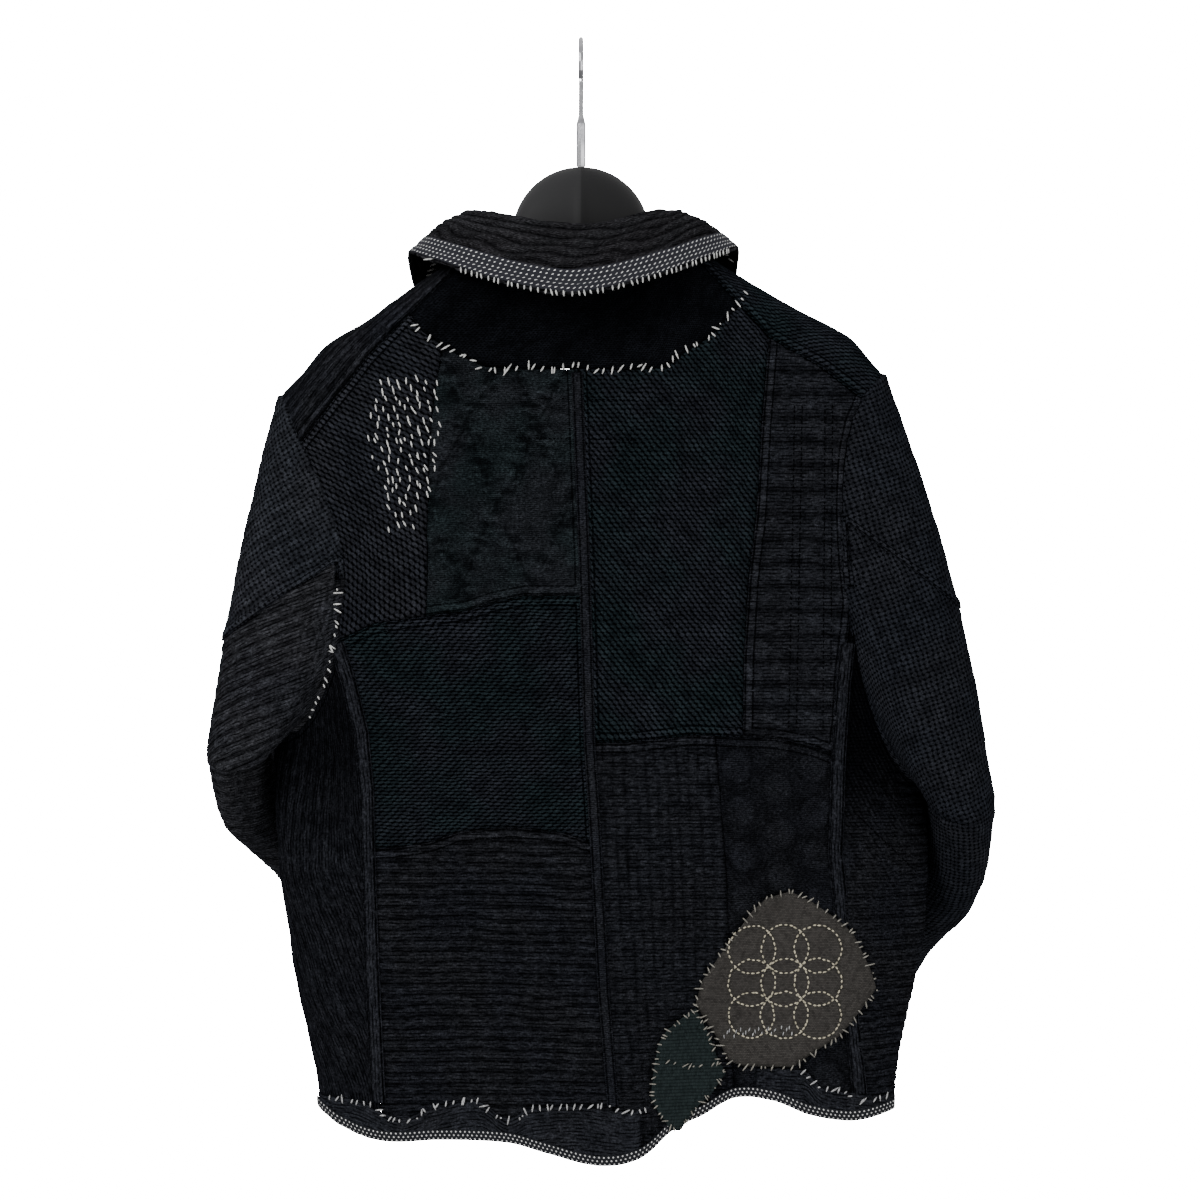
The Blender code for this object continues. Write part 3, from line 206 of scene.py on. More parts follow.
def fold(side, x, z):
    total = np.zeros_like(x + z, dtype=float)
    for face, *shape in FOLDS + CREASES:
        total += np.where(side == face, trough(x, z, *shape), 0.0)
    return total


def width_at(z):
    """The middle of the coat and half its width, at a height."""
    return (left_edge(z) + right_edge(z)) / 2, (right_edge(z) - left_edge(z)) / 2


def body_point(x, z, side):
    """The coat's outer surface, behind (side 1) or in front (side -1)."""
    x, z, side = np.broadcast_arrays(np.asarray(x, float), np.asarray(z, float), np.asarray(side))
    middle, half = width_at(z)
    share = np.minimum(1.0, np.abs(x - middle) / half)
    across = (1.0 - share ** SQUARENESS) ** (1.0 / SQUARENESS)
    drop = np.clip((ridge(x) - z) / ROUNDING, 0.0, 1.0)
    down = np.sqrt(1.0 - (1.0 - drop) ** 2)
    depth = np.where(side > 0, back_depth(z), front_depth(z)) + fold(side, x, z)
    return np.stack((x, -side * depth * across * down, z), axis=-1)


def girth_of(x, z, side=1):
    """The way round the body to a place that is given by x and height."""
    middle, half = width_at(z)
    turn = QUARTER * np.arcsin(np.clip((x - middle) / half, -1.0, 1.0)) / (pi / 2)
    return turn if side > 0 else np.copysign(2.0 * QUARTER, turn) - turn


def body_at_girth(girth, z):
    middle, half = width_at(z)
    turn = girth / QUARTER * pi / 2
    return body_point(middle + half * np.sin(turn), z, np.where(np.cos(turn) >= 0, 1, -1))


def over_shoulder(x, walk):
    """The surface at a walked distance down from the shoulder line, negative in front."""
    quarter = ROUNDING * pi / 2
    size = np.abs(walk)
    drop = np.where(size < quarter, ROUNDING * (1 - np.cos(size / ROUNDING)), ROUNDING + size - quarter)
    return body_point(x, ridge(x) - drop, np.where(walk >= 0, 1, -1))


def walk_of(x, z):
    """The walked distance down from the shoulder line to a place."""
    drop = np.maximum(0.0, ridge(x) - z)
    near = ROUNDING * np.arccos(1 - np.minimum(drop, ROUNDING) / ROUNDING)
    return np.where(drop < ROUNDING, near, ROUNDING * pi / 2 + drop - ROUNDING)


print("centre of the back at chest height:", body_point(0.0, -400.0, 1).round(1))

# %% [markdown]
# ## From four seams to a grid of points
#
# A cut piece is bounded by four seams. A Coons patch blends them, so that a grid
# of even steps fills the piece and its edges lie exactly on the seams.


# %% Lines and patches
SEAM_SPOTS = 41         # places on a seam that is turned into a way round the body
NO_CLOSER = 0.5         # a point of a seam this near to where it is cut is left out


def unit(vectors):
    return vectors / np.maximum(np.linalg.norm(vectors, axis=-1, keepdims=True), 1e-9)


def points_on(line, t):
    """Points at fractions t of a line's length."""
    line = np.array(line, float)
    steps = np.hypot(*np.diff(line, axis=0).T)
    walked = np.concatenate(((0.0,), np.cumsum(steps)))
    t = np.asarray(t) * walked[-1]
    return np.stack((np.interp(t, walked, line[:, 0]), np.interp(t, walked, line[:, 1])), axis=-1)


def between(line, key_a, key_b, column=1):
    """The stretch of a seam between two values of one column, in the line's own order."""
    low, high = sorted((key_a, key_b))

    def at(key):
        for a, b in zip(line, line[1:]):
            if min(a[column], b[column]) <= key <= max(a[column], b[column]) and a[column] != b[column]:
                f = (key - a[column]) / (b[column] - a[column])
                return (a[0] + (b[0] - a[0]) * f, a[1] + (b[1] - a[1]) * f)
        return line[0] if abs(line[0][column] - key) < abs(line[-1][column] - key) else line[-1]

    inner = [p for p in line if low + NO_CLOSER < p[column] < high - NO_CLOSER]
    rising = line[-1][column] > line[0][column]
    return [at(low if rising else high)] + inner + [at(high if rising else low)]


def on_girth(line, side=1):
    """A seam of the back (1) or the front (-1) as way round the body and height."""
    spots = points_on(line, np.linspace(0, 1, SEAM_SPOTS))
    return np.stack((girth_of(spots[:, 0], spots[:, 1], side), spots[:, 1]), axis=-1)


def coons(top, bottom, left, right, columns, rows):
    """Even grid of places between four lines."""
    u, v = np.meshgrid(np.linspace(0, 1, columns + 1), np.linspace(0, 1, rows + 1))
    t, b = points_on(top, u[0]), points_on(bottom, u[0])
    l, r = points_on(left, v[:, 0]), points_on(right, v[:, 0])
    u, v = u[..., None], v[..., None]
    ruled = (1 - v) * t[None] + v * b[None] + (1 - u) * l[:, None] + u * r[:, None]
    return ruled - ((1 - u) * (1 - v) * t[0] + u * (1 - v) * t[-1] + (1 - u) * v * b[0] + u * v * b[-1])


print("the yoke's seam is", float(np.hypot(*np.diff(np.array(YOKE), axis=0).T).sum().round()), "mm long")

# %% [markdown]
# ## Uneven cloth
#
# Hand-stitched cotton is never flat. `rumple` is a small value noise: random
# heights on a lattice, joined smoothly. It is seeded, so each run gives the same
# coat. `seam_dip` sinks a piece where it is sewn, lifts it over the turned
# allowance beside the seam, and puckers it there. A felled seam, with its
# allowance folded under and stitched twice, also raises a flat band:
# `from_sides` tells how far a point lies from the edges that have one.


# %% Noise and seams
LATTICE = 256
NOISE = np.random.default_rng(1808).uniform(-1, 1, (LATTICE, LATTICE))
TURNED_HEIGHT, TURNED_AT, TURNED_WIDTH = 0.6, 5.5, 2.6      # the turned allowance beside a seam
GROOVE_WIDTH, PUCKER_HEIGHT, PUCKER_REACH = 2.0, 0.55, 9.0
FAR_FROM_EDGES = 20.0


def rumple(x, y, size, seed=0):
    """Smooth noise between -1 and 1, with humps of about a size."""
    x, y = x / size + 37.7 * seed, y / size + 11.3 * seed
    i, j = np.floor(x).astype(int), np.floor(y).astype(int)
    s, t = smooth(x - i), smooth(y - j)
    a, b, c, d = (NOISE[(i + right) % LATTICE, (j + below) % LATTICE] for below in (0, 1) for right in (0, 1))
    return (a * (1 - s) + b * s) * (1 - t) + (c * (1 - s) + d * s) * t


def seam_dip(x, y, wide, tall, depth=1.5):
    """Relief beside the four edges of a piece that is wide by tall."""
    across, down = np.minimum(x, wide - x), np.minimum(y, tall - y)
    edge = np.minimum(across, down)
    along = np.where(across < down, y, x)
    pucker = rumple(along, edge * 0.35, 5.5, seed=3) * np.exp(-edge / PUCKER_REACH)
    turned = TURNED_HEIGHT * np.exp(-((edge - TURNED_AT) / TURNED_WIDTH) ** 2)
    return turned - depth * np.exp(-(edge / GROOVE_WIDTH) ** 2) + PUCKER_HEIGHT * pucker


def from_sides(x, y, wide, tall, sides):
    """Distance from the nearest of some edges: t top, b bottom, l left, r right."""
    far = {"l": x, "r": wide - x, "t": y, "b": tall - y}
    return np.minimum.reduce([np.full_like(x, FAR_FROM_EDGES)] + [far[side] + 0 * x for side in sides])


print("rumple at the origin:", float(rumple(np.array(0.0), np.array(0.0), 11).round(3)))

# %% [markdown]
# ## Making a sheet of cloth
#
# Every piece of cloth goes through one function. A grid from Blender gets the
# worked-out places, is moved out along its own normals by the relief, and gets
# its thickness from a Solidify modifier, inwards, so that its outside is where
# the surface is. The UV map holds real metres of cloth, so a weave has its true
# size on every piece. Two numbers go along on each point, for the finish to
# read: the relief there, and how far the nearest felled seam is.
#
# The flat size that each sheet is stated to have is measured on the same grid.


# %% Measuring a grid of points
def normals_of(points, wraps=False):
    if wraps:
        points = np.concatenate((points[:, -2:-1], points, points[:, 1:2]), axis=1)
    across, down = np.gradient(points, axis=1), np.gradient(points, axis=0)
    normal = unit(np.cross(across, down))
    return normal[:, 1:-1] if wraps else normal


def lengths_of(points):
    """How far along its own cloth each point of a grid lies, in both directions."""
    right = np.linalg.norm(np.diff(points, axis=1), axis=2)
    below = np.linalg.norm(np.diff(points, axis=0), axis=2)
    x = np.concatenate((np.zeros((len(points), 1)), np.cumsum(right, axis=1)), axis=1)
    y = np.concatenate((np.zeros((1, points.shape[1])), np.cumsum(below, axis=0)), axis=0)
    return x, y


def area_of(points):
    a, b, c, d = points[:-1, :-1], points[:-1, 1:], points[1:, 1:], points[1:, :-1]
    return 0.5 * np.linalg.norm(np.cross(c - a, d - b), axis=2).sum()


def unrolled(points, way, centre):
    """A sleeve unrolled level from one column: places across its threads and along them, which run the given way."""
    steps = np.linalg.norm(np.diff(points[..., :2], axis=1), axis=2)
    flat = np.concatenate((np.zeros((len(points), 1)), np.cumsum(steps, axis=1)), axis=1)
    facing = np.sign((points[:, centre + 3, 0] - points[:, centre - 3, 0]).mean())
    flat = (flat - flat[:, centre:centre + 1]) * facing
    flat = flat + points[:, centre:centre + 1, 0]
    return points[..., 2] * way[0] - flat * way[1], flat * way[0] + points[..., 2] * way[1]


square = np.stack(np.meshgrid((0.0, 1.0, 2.0), (0.0, 1.0, 2.0)) + [np.zeros((3, 3))], axis=-1)
print("a grid of 2 by 2 mm has an area of", area_of(square), "square mm")


# %% From a grid of points to a piece
def grid_mesh(points, x, y, marks, wraps=False):
    """A grid of faces through worked-out points, with metres of cloth as its UV map and marks on its points."""
    rows, columns = points.shape[0] - 1, points.shape[1] - 1
    bm = bmesh.new()
    bmesh.ops.create_grid(bm, x_segments=columns, y_segments=rows, size=0.5)
    uv = bm.loops.layers.uv.new("cloth")
    for mark in marks:
        bm.verts.layers.float.new(mark)
    layers = {bm.verts.layers.float[mark]: values for mark, values in marks.items()}
    cells = {}
    for vert in bm.verts:
        i, j = round((vert.co.x + 0.5) * columns), round((0.5 - vert.co.y) * rows)
        cells[vert] = (x[j, i] * MM, y[j, i] * MM)
        for layer, values in layers.items():
            vert[layer] = values[j, i]
        vert.co = points[j, i] * MM
    for face in bm.faces:
        for loop in face.loops:
            loop[uv].uv = cells[loop.vert]
    if wraps:
        bmesh.ops.remove_doubles(bm, verts=bm.verts, dist=1e-5)
    return bm


def keep(name, bm, finish):
    """Make a bmesh an object of the scene that rides on the coat's one body."""
    mesh = bpy.data.meshes.new(name)
    bm.to_mesh(mesh)
    bm.free()
    mesh.shade_smooth()
    mesh.materials.append(finish)
    piece = bpy.data.objects.new(name, mesh)
    bpy.context.collection.objects.link(piece)
    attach(piece, "root")
    return piece


TAPERED = 0.35          # a cut that tapers to points fills less than this share of its rectangle
NARROWEST = 10.5        # strips are stated no narrower than this


def declare(piece, node, wide, tall, area):
    """Hide the node that a sheet stands for, and print the size that it was cut to, from millimetres."""
    if area < TAPERED * wide * tall:
        wide = 2 * area / tall
    wide, tall, area = max(wide, NARROWEST) * MM, max(tall, NARROWEST) * MM, area * MM * MM
    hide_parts(node)
    min(area, wide * tall)
    print(piece.name, "cut about", round(wide * 1000), "by", round(tall * 1000), "mm")


# %% [markdown]
# ## One function for every sheet
#
# What differs from piece to piece is said in its call:
#
# - `away` points out of the coat, so that the outside is known.
# - `pattern` and `depth` are the coarse quilting, `lift` is the height over the
#   surface and `ruffled` how uneven the cloth is.
# - `edges` is the depth of the dip at its seams. `felled` names the edges with a
#   folded band, and `proud` is the band's height.
# - `level` measures the cloth by its height instead of along its columns.
#   `centre` is the column that a sleeve's cloth starts from, and `along` the way
#   in x and z that its threads run. `straight` gives the UV map outright.
# - `wraps` joins the last column to the first, as round a sleeve.

# %% A sheet of cloth
FOLDED_BAND, BAND_SOFTNESS = 10.0, 3.0
MEETING_COLUMNS = 8     # where both ends of a row meet, they come to the same height in so many columns
FAR_AWAY = 1e6          # a tube has no left and right edges


def cloth_piece(name, points, away, finish, pattern=None, depth=0.0, lift=0.0, thick=CLOTH, wraps=False,
                normal=None, straight=None, edges=1.5, ruffled=0.35, felled="", proud=0.7, centre=None,
                level=False, along=None, held="hung", rests_on=()):
    """A sheet through a grid of points, raised by its quilting and dipped where it is sewn."""
    x, y = lengths_of(points)
    across = x if centre is None else x - x[:, centre:centre + 1]
    down = -points[..., 2] if level else y
    if along is not None:
        across, down = unrolled(points, along, centre)
    normal = normals_of(points, wraps) if normal is None else normal
    sign = np.sign((normal * away).sum(axis=2).mean())
    relief = np.ones_like(x) if pattern is None else pattern(across, down)
    wide, tall = (x[:, -1:], y[-1:]) if not wraps else (FAR_AWAY, y[-1:])
    height = lift + depth * (relief - 1.0) + ruffled * rumple(x, y, 11, 1) + 1.6 * ruffled * rumple(x, y, 27, 2)
    height = height + seam_dip(x if not wraps else x + 0.4 * FAR_AWAY, y, wide, tall, edges)
    seam = from_sides(x, y, wide, tall, felled)
    height = height + proud * smooth((FOLDED_BAND - seam) / BAND_SOFTNESS)
    if wraps:
        meet = smooth((np.arange(x.shape[1]) - x.shape[1] + MEETING_COLUMNS) / (MEETING_COLUMNS - 1))
        height, relief = (field * (1 - meet) + field[:, :1] * meet for field in (height, relief))
    u, v = (across, down) if straight is None else straight
    bm = grid_mesh(points + sign * normal * height[..., None], u, v, {"relief": relief, "seam": seam}, wraps)
    if sign > 0:
        bmesh.ops.reverse_faces(bm, faces=bm.faces)
    piece = keep(name + "_cloth", bm, finish)
    skin = piece.modifiers.new("thickness", "SOLIDIFY")
    skin.thickness = thick * MM
    skin.offset = -1.0
    if along is None:
        declare(piece, name, np.ptp(u), max(np.ptp(v), y[-1].max()), area_of(points))
    else:       # the threads lie aslant on a sleeve, so its cut is measured along its rows and columns
        declare(piece, name, x[:, -1].max(), y[-1].max(), area_of(points))
    return piece


# %% [markdown]
# ## Finishes: a small language for shader maths
#
# A weave is arithmetic on the cloth's own coordinates. `Socket` wraps a node's
# output so that `x * 2 + 1` adds the Math nodes by itself, and `Finish` makes
# every other node: settings first, then values or links. Colours are given as
# red, green and blue, and get their alpha here.


# %% Sockets that take part in sums
class Socket:
    def __init__(self, finish, link):
        self.finish, self.link = finish, link

    def __add__(self, other):
        return self.finish.maths("ADD", self, other)

    def __sub__(self, other):
        return self.finish.maths("SUBTRACT", self, other)

    def __rsub__(self, other):
        return self.finish.maths("SUBTRACT", other, self)

    def __mul__(self, other):
        return self.finish.maths("MULTIPLY", self, other)

    def __truediv__(self, other):
        return self.finish.maths("DIVIDE", self, other)

    __radd__, __rmul__ = __add__, __mul__


print("sums that a socket knows:", [name.strip("_") for name in vars(Socket) if name.endswith(("add__", "sub__"))])


# %% A finish and its nodes
class Finish:
    def __init__(self, name, surface):
        self.material = bpy.data.materials.new(name)
        self.material.use_nodes = True
        self.tree = self.material.node_tree
        self.shader = self.tree.nodes["Principled BSDF"]
        self.set(surface)

    def set(self, values):
        for name, value in values.items():
            self.feed(self.shader.inputs[name], value)

    def feed(self, socket, value):
        if isinstance(value, Socket):
            self.tree.links.new(value.link, socket)
        elif socket.type == "RGBA":
            socket.default_value = (*value, 1)
        else:
            socket.default_value = value

    def node(self, kind, settings, values, out=0):
        node = self.tree.nodes.new("ShaderNode" + kind)
        for name, value in settings.items():
            setattr(node, name, value)
        for name, value in values.items():
            self.feed(node.inputs[name], value)
        return Socket(self, node.outputs[out])

    def maths(self, operation, *values):
        return self.node("Math", {"operation": operation}, dict(enumerate(values)))

    def noise(self, vector, size, detail=2.0, rough=0.5):
        """Noise between 0 and 1 with clouds of about a size in millimetres."""
        values = {"Vector": vector, "Scale": 1 / (size * MM), "Detail": detail, "Roughness": rough}
        return self.node("TexNoise", {}, values)

    def step(self, value, low, high):
        return self.node("MapRange", {"interpolation_type": "SMOOTHSTEP"}, {"Value": value, 1: low, 2: high})

    def blend(self, share, a, b):
        return self.node("Mix", {"data_type": "RGBA"}, {0: share, 6: a, 7: b}, out=2)

    def place(self):
        return self.node("TexCoord", {}, {}, out="Object")

    def cloth(self):
        return self.node("UVMap", {"uv_map": "cloth"}, {})

    def mark(self, name):
        """A number that was put on each point of the piece."""
        return self.node("Attribute", {"attribute_name": name}, {}, out="Fac")

    def x_and_y(self, vector):
        parts = self.node("SeparateXYZ", {}, {0: vector})
        return parts, Socket(self, parts.link.node.outputs[1])

    def height(self, height, strength, depth):
        self.set({"Normal": self.node("Bump", {}, {"Strength": strength, "Distance": depth * MM, "Height": height})})


print("what a finish can do:", [name for name in vars(Finish) if not name.startswith("_")])

# %% [markdown]
# ## The weaves
#
# Each one is a height from 0, in a groove, to 1, on a thread, worked out in
# millimetres of cloth. The threads were put in by hand, so each cell is a little
# longer, shorter, higher or paler than the next: a white noise on the cell's
# number does that.


# %% Weaves as arithmetic
def cells(look, x, y, wide, tall, stagger=0.5, lean=0.0, ends=0.35, sides=0.5, corners=0.9):
    """Rows of short raised stitches, dark in the pits between them: height, and a random number for each."""
    row = look.maths("FLOOR", y / tall)
    down = y / tall - row
    slid = x / wide + row * stagger + down * lean
    column = look.maths("FLOOR", slid)
    number = look.node("CombineXYZ", {}, {0: column, 1: row})
    chance = look.node("TexWhiteNoise", {"noise_dimensions": "2D"}, {"Vector": number})
    u, v = (slid - column) * 2 - 1, down * 2 - 1
    uu, vv = u * u, v * v
    return look.step(1 - uu * ends - vv * sides - uu * vv * corners, -0.15, 0.85), chance


def waffle(look, x, y):
    return cells(look, x, y, 5.0, 3.3, stagger=-0.5, lean=-0.4, ends=0.85, sides=0.45, corners=0.7)


def rice(look, x, y):
    return cells(look, y, x, 5.4, 4.2, stagger=-0.5, lean=-0.4, ends=0.85, sides=0.5, corners=0.7)


def slanted(look, x, y):
    return cells(look, x + y * 0.35, y, 5.9, 2.7, stagger=0.36, lean=0.25, ends=0.6, sides=0.8)


def squares(look, x, y):
    return cells(look, x, y, 4.3, 3.7, stagger=0.0, lean=0.12, ends=0.55, sides=0.50, corners=0.9)


def tight_twill(look, x, y):
    return cells(look, x + y * 1.3, y, 2.6, 1.6, stagger=0.3, lean=-0.6)


UNSCALED = 1000.0       # the size that gives a noise on numbered cells a scale of 1


def streaks(look, x, y, long=6.0, tall=2.8):
    """Slubby cloth stitched in close rows, with broken dark lines between them."""
    off = look.maths("ABSOLUTE", look.maths("FRACT", y / tall) - 0.5) * 2
    line = look.maths("FLOOR", y / tall + 0.5)
    soft = look.noise(look.node("CombineXYZ", {}, {0: x / long, 1: y / (tall * 0.45)}), UNSCALED, 3.0, 0.6)
    gap = look.noise(look.node("CombineXYZ", {}, {0: x / (long * 1.3), 1: line * 3.7}), UNSCALED, 1.0, 0.4)
    dark = look.step(off, 0.45, 0.95) * look.step(gap, 0.36, 0.56)
    return (1 - dark * 0.9) * (look.step(soft, 0.25, 0.75) * 0.75 + 0.25), soft


def upright_streaks(look, x, y):
    return streaks(look, y, x)


def plain(look, x, y):
    return streaks(look, x, y, 2.6, 1.5)


print("weaves:", *(weave.__name__ for weave in (waffle, rice, slanted, squares, tight_twill, streaks, plain)))

# %% [markdown]
# ## Old indigo cotton
#
# The dye is nearly black. What makes it read as cloth is the difference between
# thread tops, worn to a dusty blue-grey, and the grooves, which keep their dye
# and are painted darker still, as painted shade in them that bump doesn't cast.
# Large faint clouds of green or brown come from patches that faded differently,
# and lint sits on top as pale flecks.

#
# The running stitches beside a felled seam are dashes, at two distances from the
# edge. They darken the cloth and draw it in.


# %% One function for all the dark cottons
FIRST_STITCH, SECOND_STITCH = 1.5, 7.4      # distances of the running stitches from a felled edge
LINT = (0.040, 0.042, 0.048)


def cotton(name, weave, groove, thread, cast, depth=0.9, clouds=0.7, wander=0.8, relief_shade=0.0):
    """groove and thread are the colours of a weave, cast the faded one, and the last the share of the quilting's
    relief painted in as shade.
    """
    look = Finish(name, {"Roughness": 1.0, "Specular IOR Level": 0.0})
    cloth = look.cloth()
    x, y = (place * 1000 for place in look.x_and_y(cloth))
    drift_x, drift_y = look.x_and_y(look.node("TexNoise", {}, {"Vector": cloth, "Scale": 80.0}, out="Color"))
    x = x + (drift_x - 0.5) * (wander * 5)
    y = y + (drift_y - 0.5) * (wander * 4)
    height, chance = weave(look, x, y)
    cloud = look.step(look.noise(cloth, 60, 3.0), 0.38, 0.62)
    worn = look.step(look.noise(cloth, 15, 4.0, 0.65), 0.28, 0.72)
    fuzz = look.noise(cloth, 1.8, 3.0, 0.72)
    # The colour darkens with the coarse quilting's relief, in its hollows: painted shade. The sinking pattern of the
    # side panels comes through here too. Near a felled edge the running stitches darken it, and the folded band is
    # drawn paler.
    relief_shade_and_seams = look.mark("relief") * relief_shade + (1.0 - relief_shade)
    seam = look.mark("seam")
    sewn = look.maths("MINIMUM", *(look.maths("ABSOLUTE", seam - at) for at in (FIRST_STITCH, SECOND_STITCH)))
    dashes = look.step(look.noise(cloth, 2.4, 1.0), 0.34, 0.48) * 0.6 + 0.4
    sewn = (1 - look.step(sewn, 0.3, 1.0)) * dashes
    relief_shade_and_seams = relief_shade_and_seams * (1 - sewn * 0.85) * (1 + (1 - look.step(seam, 7.2, 8.2)) * 0.35)
    top = look.blend(cloud * clouds, thread, cast)
    bright = height * (chance * 0.30 + 0.55) * (worn * 0.60 + 0.55) * relief_shade_and_seams
    bright = bright * (look.step(fuzz, 0.32, 0.68) * 1.1 + 0.4)
    lint = look.step(look.noise(cloth, 1.0, 2.0, 0.7), 0.68, 0.80) * worn
    look.set({"Base Color": look.blend(lint * 0.22, look.blend(bright, groove, top), LINT)})
    look.height(height * (chance * 0.35 + 0.65) + fuzz * 0.35 - sewn * 0.8, 1.0, depth)
    return look.material


print("running stitches lie", FIRST_STITCH, "and", SECOND_STITCH, "mm from a felled edge")

# %% [markdown]
# ## The colours of the cottons
#
# All the thread tops lie within a few hundredths of black. They were matched to
# the photograph one cloth at a time, because a picture of black cloth is nothing
# but small differences. One colour for all would look cut from a single sheet.

# %% Every dark cotton of the coat
# The grooves' near-black is dye, painted darker still as shade in the pits that bump doesn't cast; the dark thread
# uses it too.
INK_AND_PIT_SHADE, DUST, SLATE = (0.0002, 0.0002, 0.0003), (0.0162, 0.0180, 0.0232), (0.0215, 0.0232, 0.0305)
GREYED, MOSS = (0.0265, 0.0275, 0.0325), (0.0090, 0.0165, 0.0180)
waffle_cloth = cotton("cotton_waffle", waffle, INK_AND_PIT_SHADE, DUST, MOSS, depth=1.4)
rice_cloth = cotton("cotton_rice", rice, INK_AND_PIT_SHADE, (0.0205, 0.0215, 0.0262), DUST, depth=1.4)
slanted_cloth = cotton("cotton_slanted", slanted, INK_AND_PIT_SHADE, DUST, MOSS, depth=1.2)
ribbed_cloth = cotton("cotton_ribbed", streaks, INK_AND_PIT_SHADE, GREYED, SLATE, relief_shade=0.9, wander=0.35)
upright_cloth = cotton("cotton_upright", upright_streaks, INK_AND_PIT_SHADE, (0.0205, 0.0215, 0.0265), (0.0190, 0.0203, 0.0255),
                       relief_shade=0.7, depth=0.8, wander=0.35)
square_cloth = cotton("cotton_squares", squares, (0.0006, 0.0007, 0.0010), (0.0162, 0.0172, 0.0212),
                      (0.0125, 0.0143, 0.0188), depth=1.0, relief_shade=0.5, wander=1.0)
cap_cloth = cotton("cotton_cap", squares, (0.0012, 0.0013, 0.0017), (0.0265, 0.0280, 0.0335),
                   (0.0205, 0.0230, 0.0290), relief_shade=0.7, wander=1.1)
plain_cloth = cotton("cotton_plain", plain, (0.0006, 0.0007, 0.0009), (0.0290, 0.0320, 0.0380),
                     (0.0175, 0.0285, 0.0305), relief_shade=0.88, wander=0.5)
quilt_cloth = cotton("cotton_quilt", plain, (0.0006, 0.0006, 0.0008), (0.0245, 0.0258, 0.0310), SLATE, relief_shade=0.5,
                     wander=0.5)
brown_cloth = cotton("cotton_brown", streaks, INK_AND_PIT_SHADE, (0.0290, 0.0310, 0.0385), (0.0275, 0.0285, 0.0340), relief_shade=0.75,
                     wander=0.35)
sleeve_cloth = cotton("cotton_sleeve", streaks, INK_AND_PIT_SHADE, (0.050, 0.051, 0.058), (0.041, 0.043, 0.052), relief_shade=0.9,
                      depth=1.0, wander=0.5)
collar_cloth = cotton("cotton_collar", plain, INK_AND_PIT_SHADE, (0.050, 0.0505, 0.056), (0.046, 0.044, 0.049), relief_shade=0.95,
                      depth=1.0, wander=0.9)
# These threads are painted very dark, as painted shadow of the collar over the yoke; the collar's stand and the
# lapels share this cloth.
collar_shadow_twill = cotton("cotton_twill_collar_shadow", tight_twill, INK_AND_PIT_SHADE, (0.0040, 0.0044, 0.0056), (0.0060, 0.0066, 0.0085),
                     depth=0.5, clouds=0.6)
print("dark cottons:", sum(material.name.startswith("cotton") for material in bpy.data.materials))

# %% [markdown]
# ## Dotted tape and patches
#
# The collar's edge and the hem are bound with a narrow tape, printed with white
# dots in staggered rows. The grey patch is a coarse brown-grey cotton, the green
# one a soft twill.


# %% Dotted tape
def dotted(name, pitch, tall, dot, ground, spot):
    """Spots of radius dot, in pitches, in staggered rows."""
    look = Finish(name, {"Roughness": 0.9, "Specular IOR Level": 0.05})
    cloth = look.cloth()
    x, y = (place * (1000 / size) for place, size in zip(look.x_and_y(cloth), (pitch, tall)))
    x = x + look.maths("FLOOR", y) * 0.5
    u, v = look.maths("FRACT", x) - 0.5, look.maths("FRACT", y) - 0.5
    v = v * (tall / pitch)
    far = look.maths("SQRT", u * u + v * v)
    wear = look.noise(cloth, 2.2, 3.0, 0.7)
    mark = (1 - look.step(far + (wear - 0.5) * 0.16, dot * 0.8, dot * 1.25)) * look.step(wear, 0.28, 0.5)
    thread = look.noise(cloth, 0.7, 2.0, 0.7)
    worn_ground = tuple(value * 3 for value in ground)
    look.set({"Base Color": look.blend(mark, look.blend(thread, ground, worn_ground), spot)})
    look.height(thread + mark * 0.4, 0.5, 0.25)
    return look.material


collar_dots = dotted("tape_dots_collar", 4.7, 3.6, 0.125, (0.0072, 0.0074, 0.0092), (0.60, 0.60, 0.59))
hem_dots = dotted("tape_dots_hem", 3.6, 2.7, 0.17, (0.0040, 0.0042, 0.0052), (0.40, 0.40, 0.39))
print("tapes:", collar_dots.name, "and", hem_dots.name)


# %% Cotton of the patches
def woven(name, groove, thread, fleck, wide, tall, depth=0.4):
    """Coarse cotton with cells wide by tall, and slubs of a paler colour."""
    look = Finish(name, {"Roughness": 1.0, "Specular IOR Level": 0.02})
    cloth = look.cloth()
    x, y = (place * 1000 for place in look.x_and_y(cloth))
    height, chance = cells(look, x, y, wide, tall)
    slub = look.step(look.noise(cloth, 6, 4.0, 0.7), 0.3, 0.7)
    colour = look.blend(height * (chance * 0.6 + 0.4), groove, thread)
    look.set({"Base Color": look.blend(slub * 0.35, colour, fleck)})
    look.height(height + look.noise(cloth, 1.5, 2.0) * 0.5, 0.7, depth)
    return look.material


grey_cloth = woven("cotton_grey_patch", (0.0060, 0.0057, 0.0054), (0.034, 0.0315, 0.0290), (0.043, 0.040, 0.037),
                   1.9, 1.3)
green_cloth = woven("cotton_green_patch", (0.0014, 0.0022, 0.0024), (0.0120, 0.0165, 0.0170),
                    (0.014, 0.020, 0.020), 1.1, 2.6)
print("patches:", grey_cloth.name, "and", green_cloth.name)

# %% [markdown]
# ## Thread, plastic, chrome and horn
#
# Thread is a dull grain with a twist. The hanger is two halves of black plastic
# from one mould, and its left half is painted lighter than its right: painted
# light and shade. Its hook is chromed wire that reflects a white room, so it is
# darkened here, or it would vanish on the white ground.


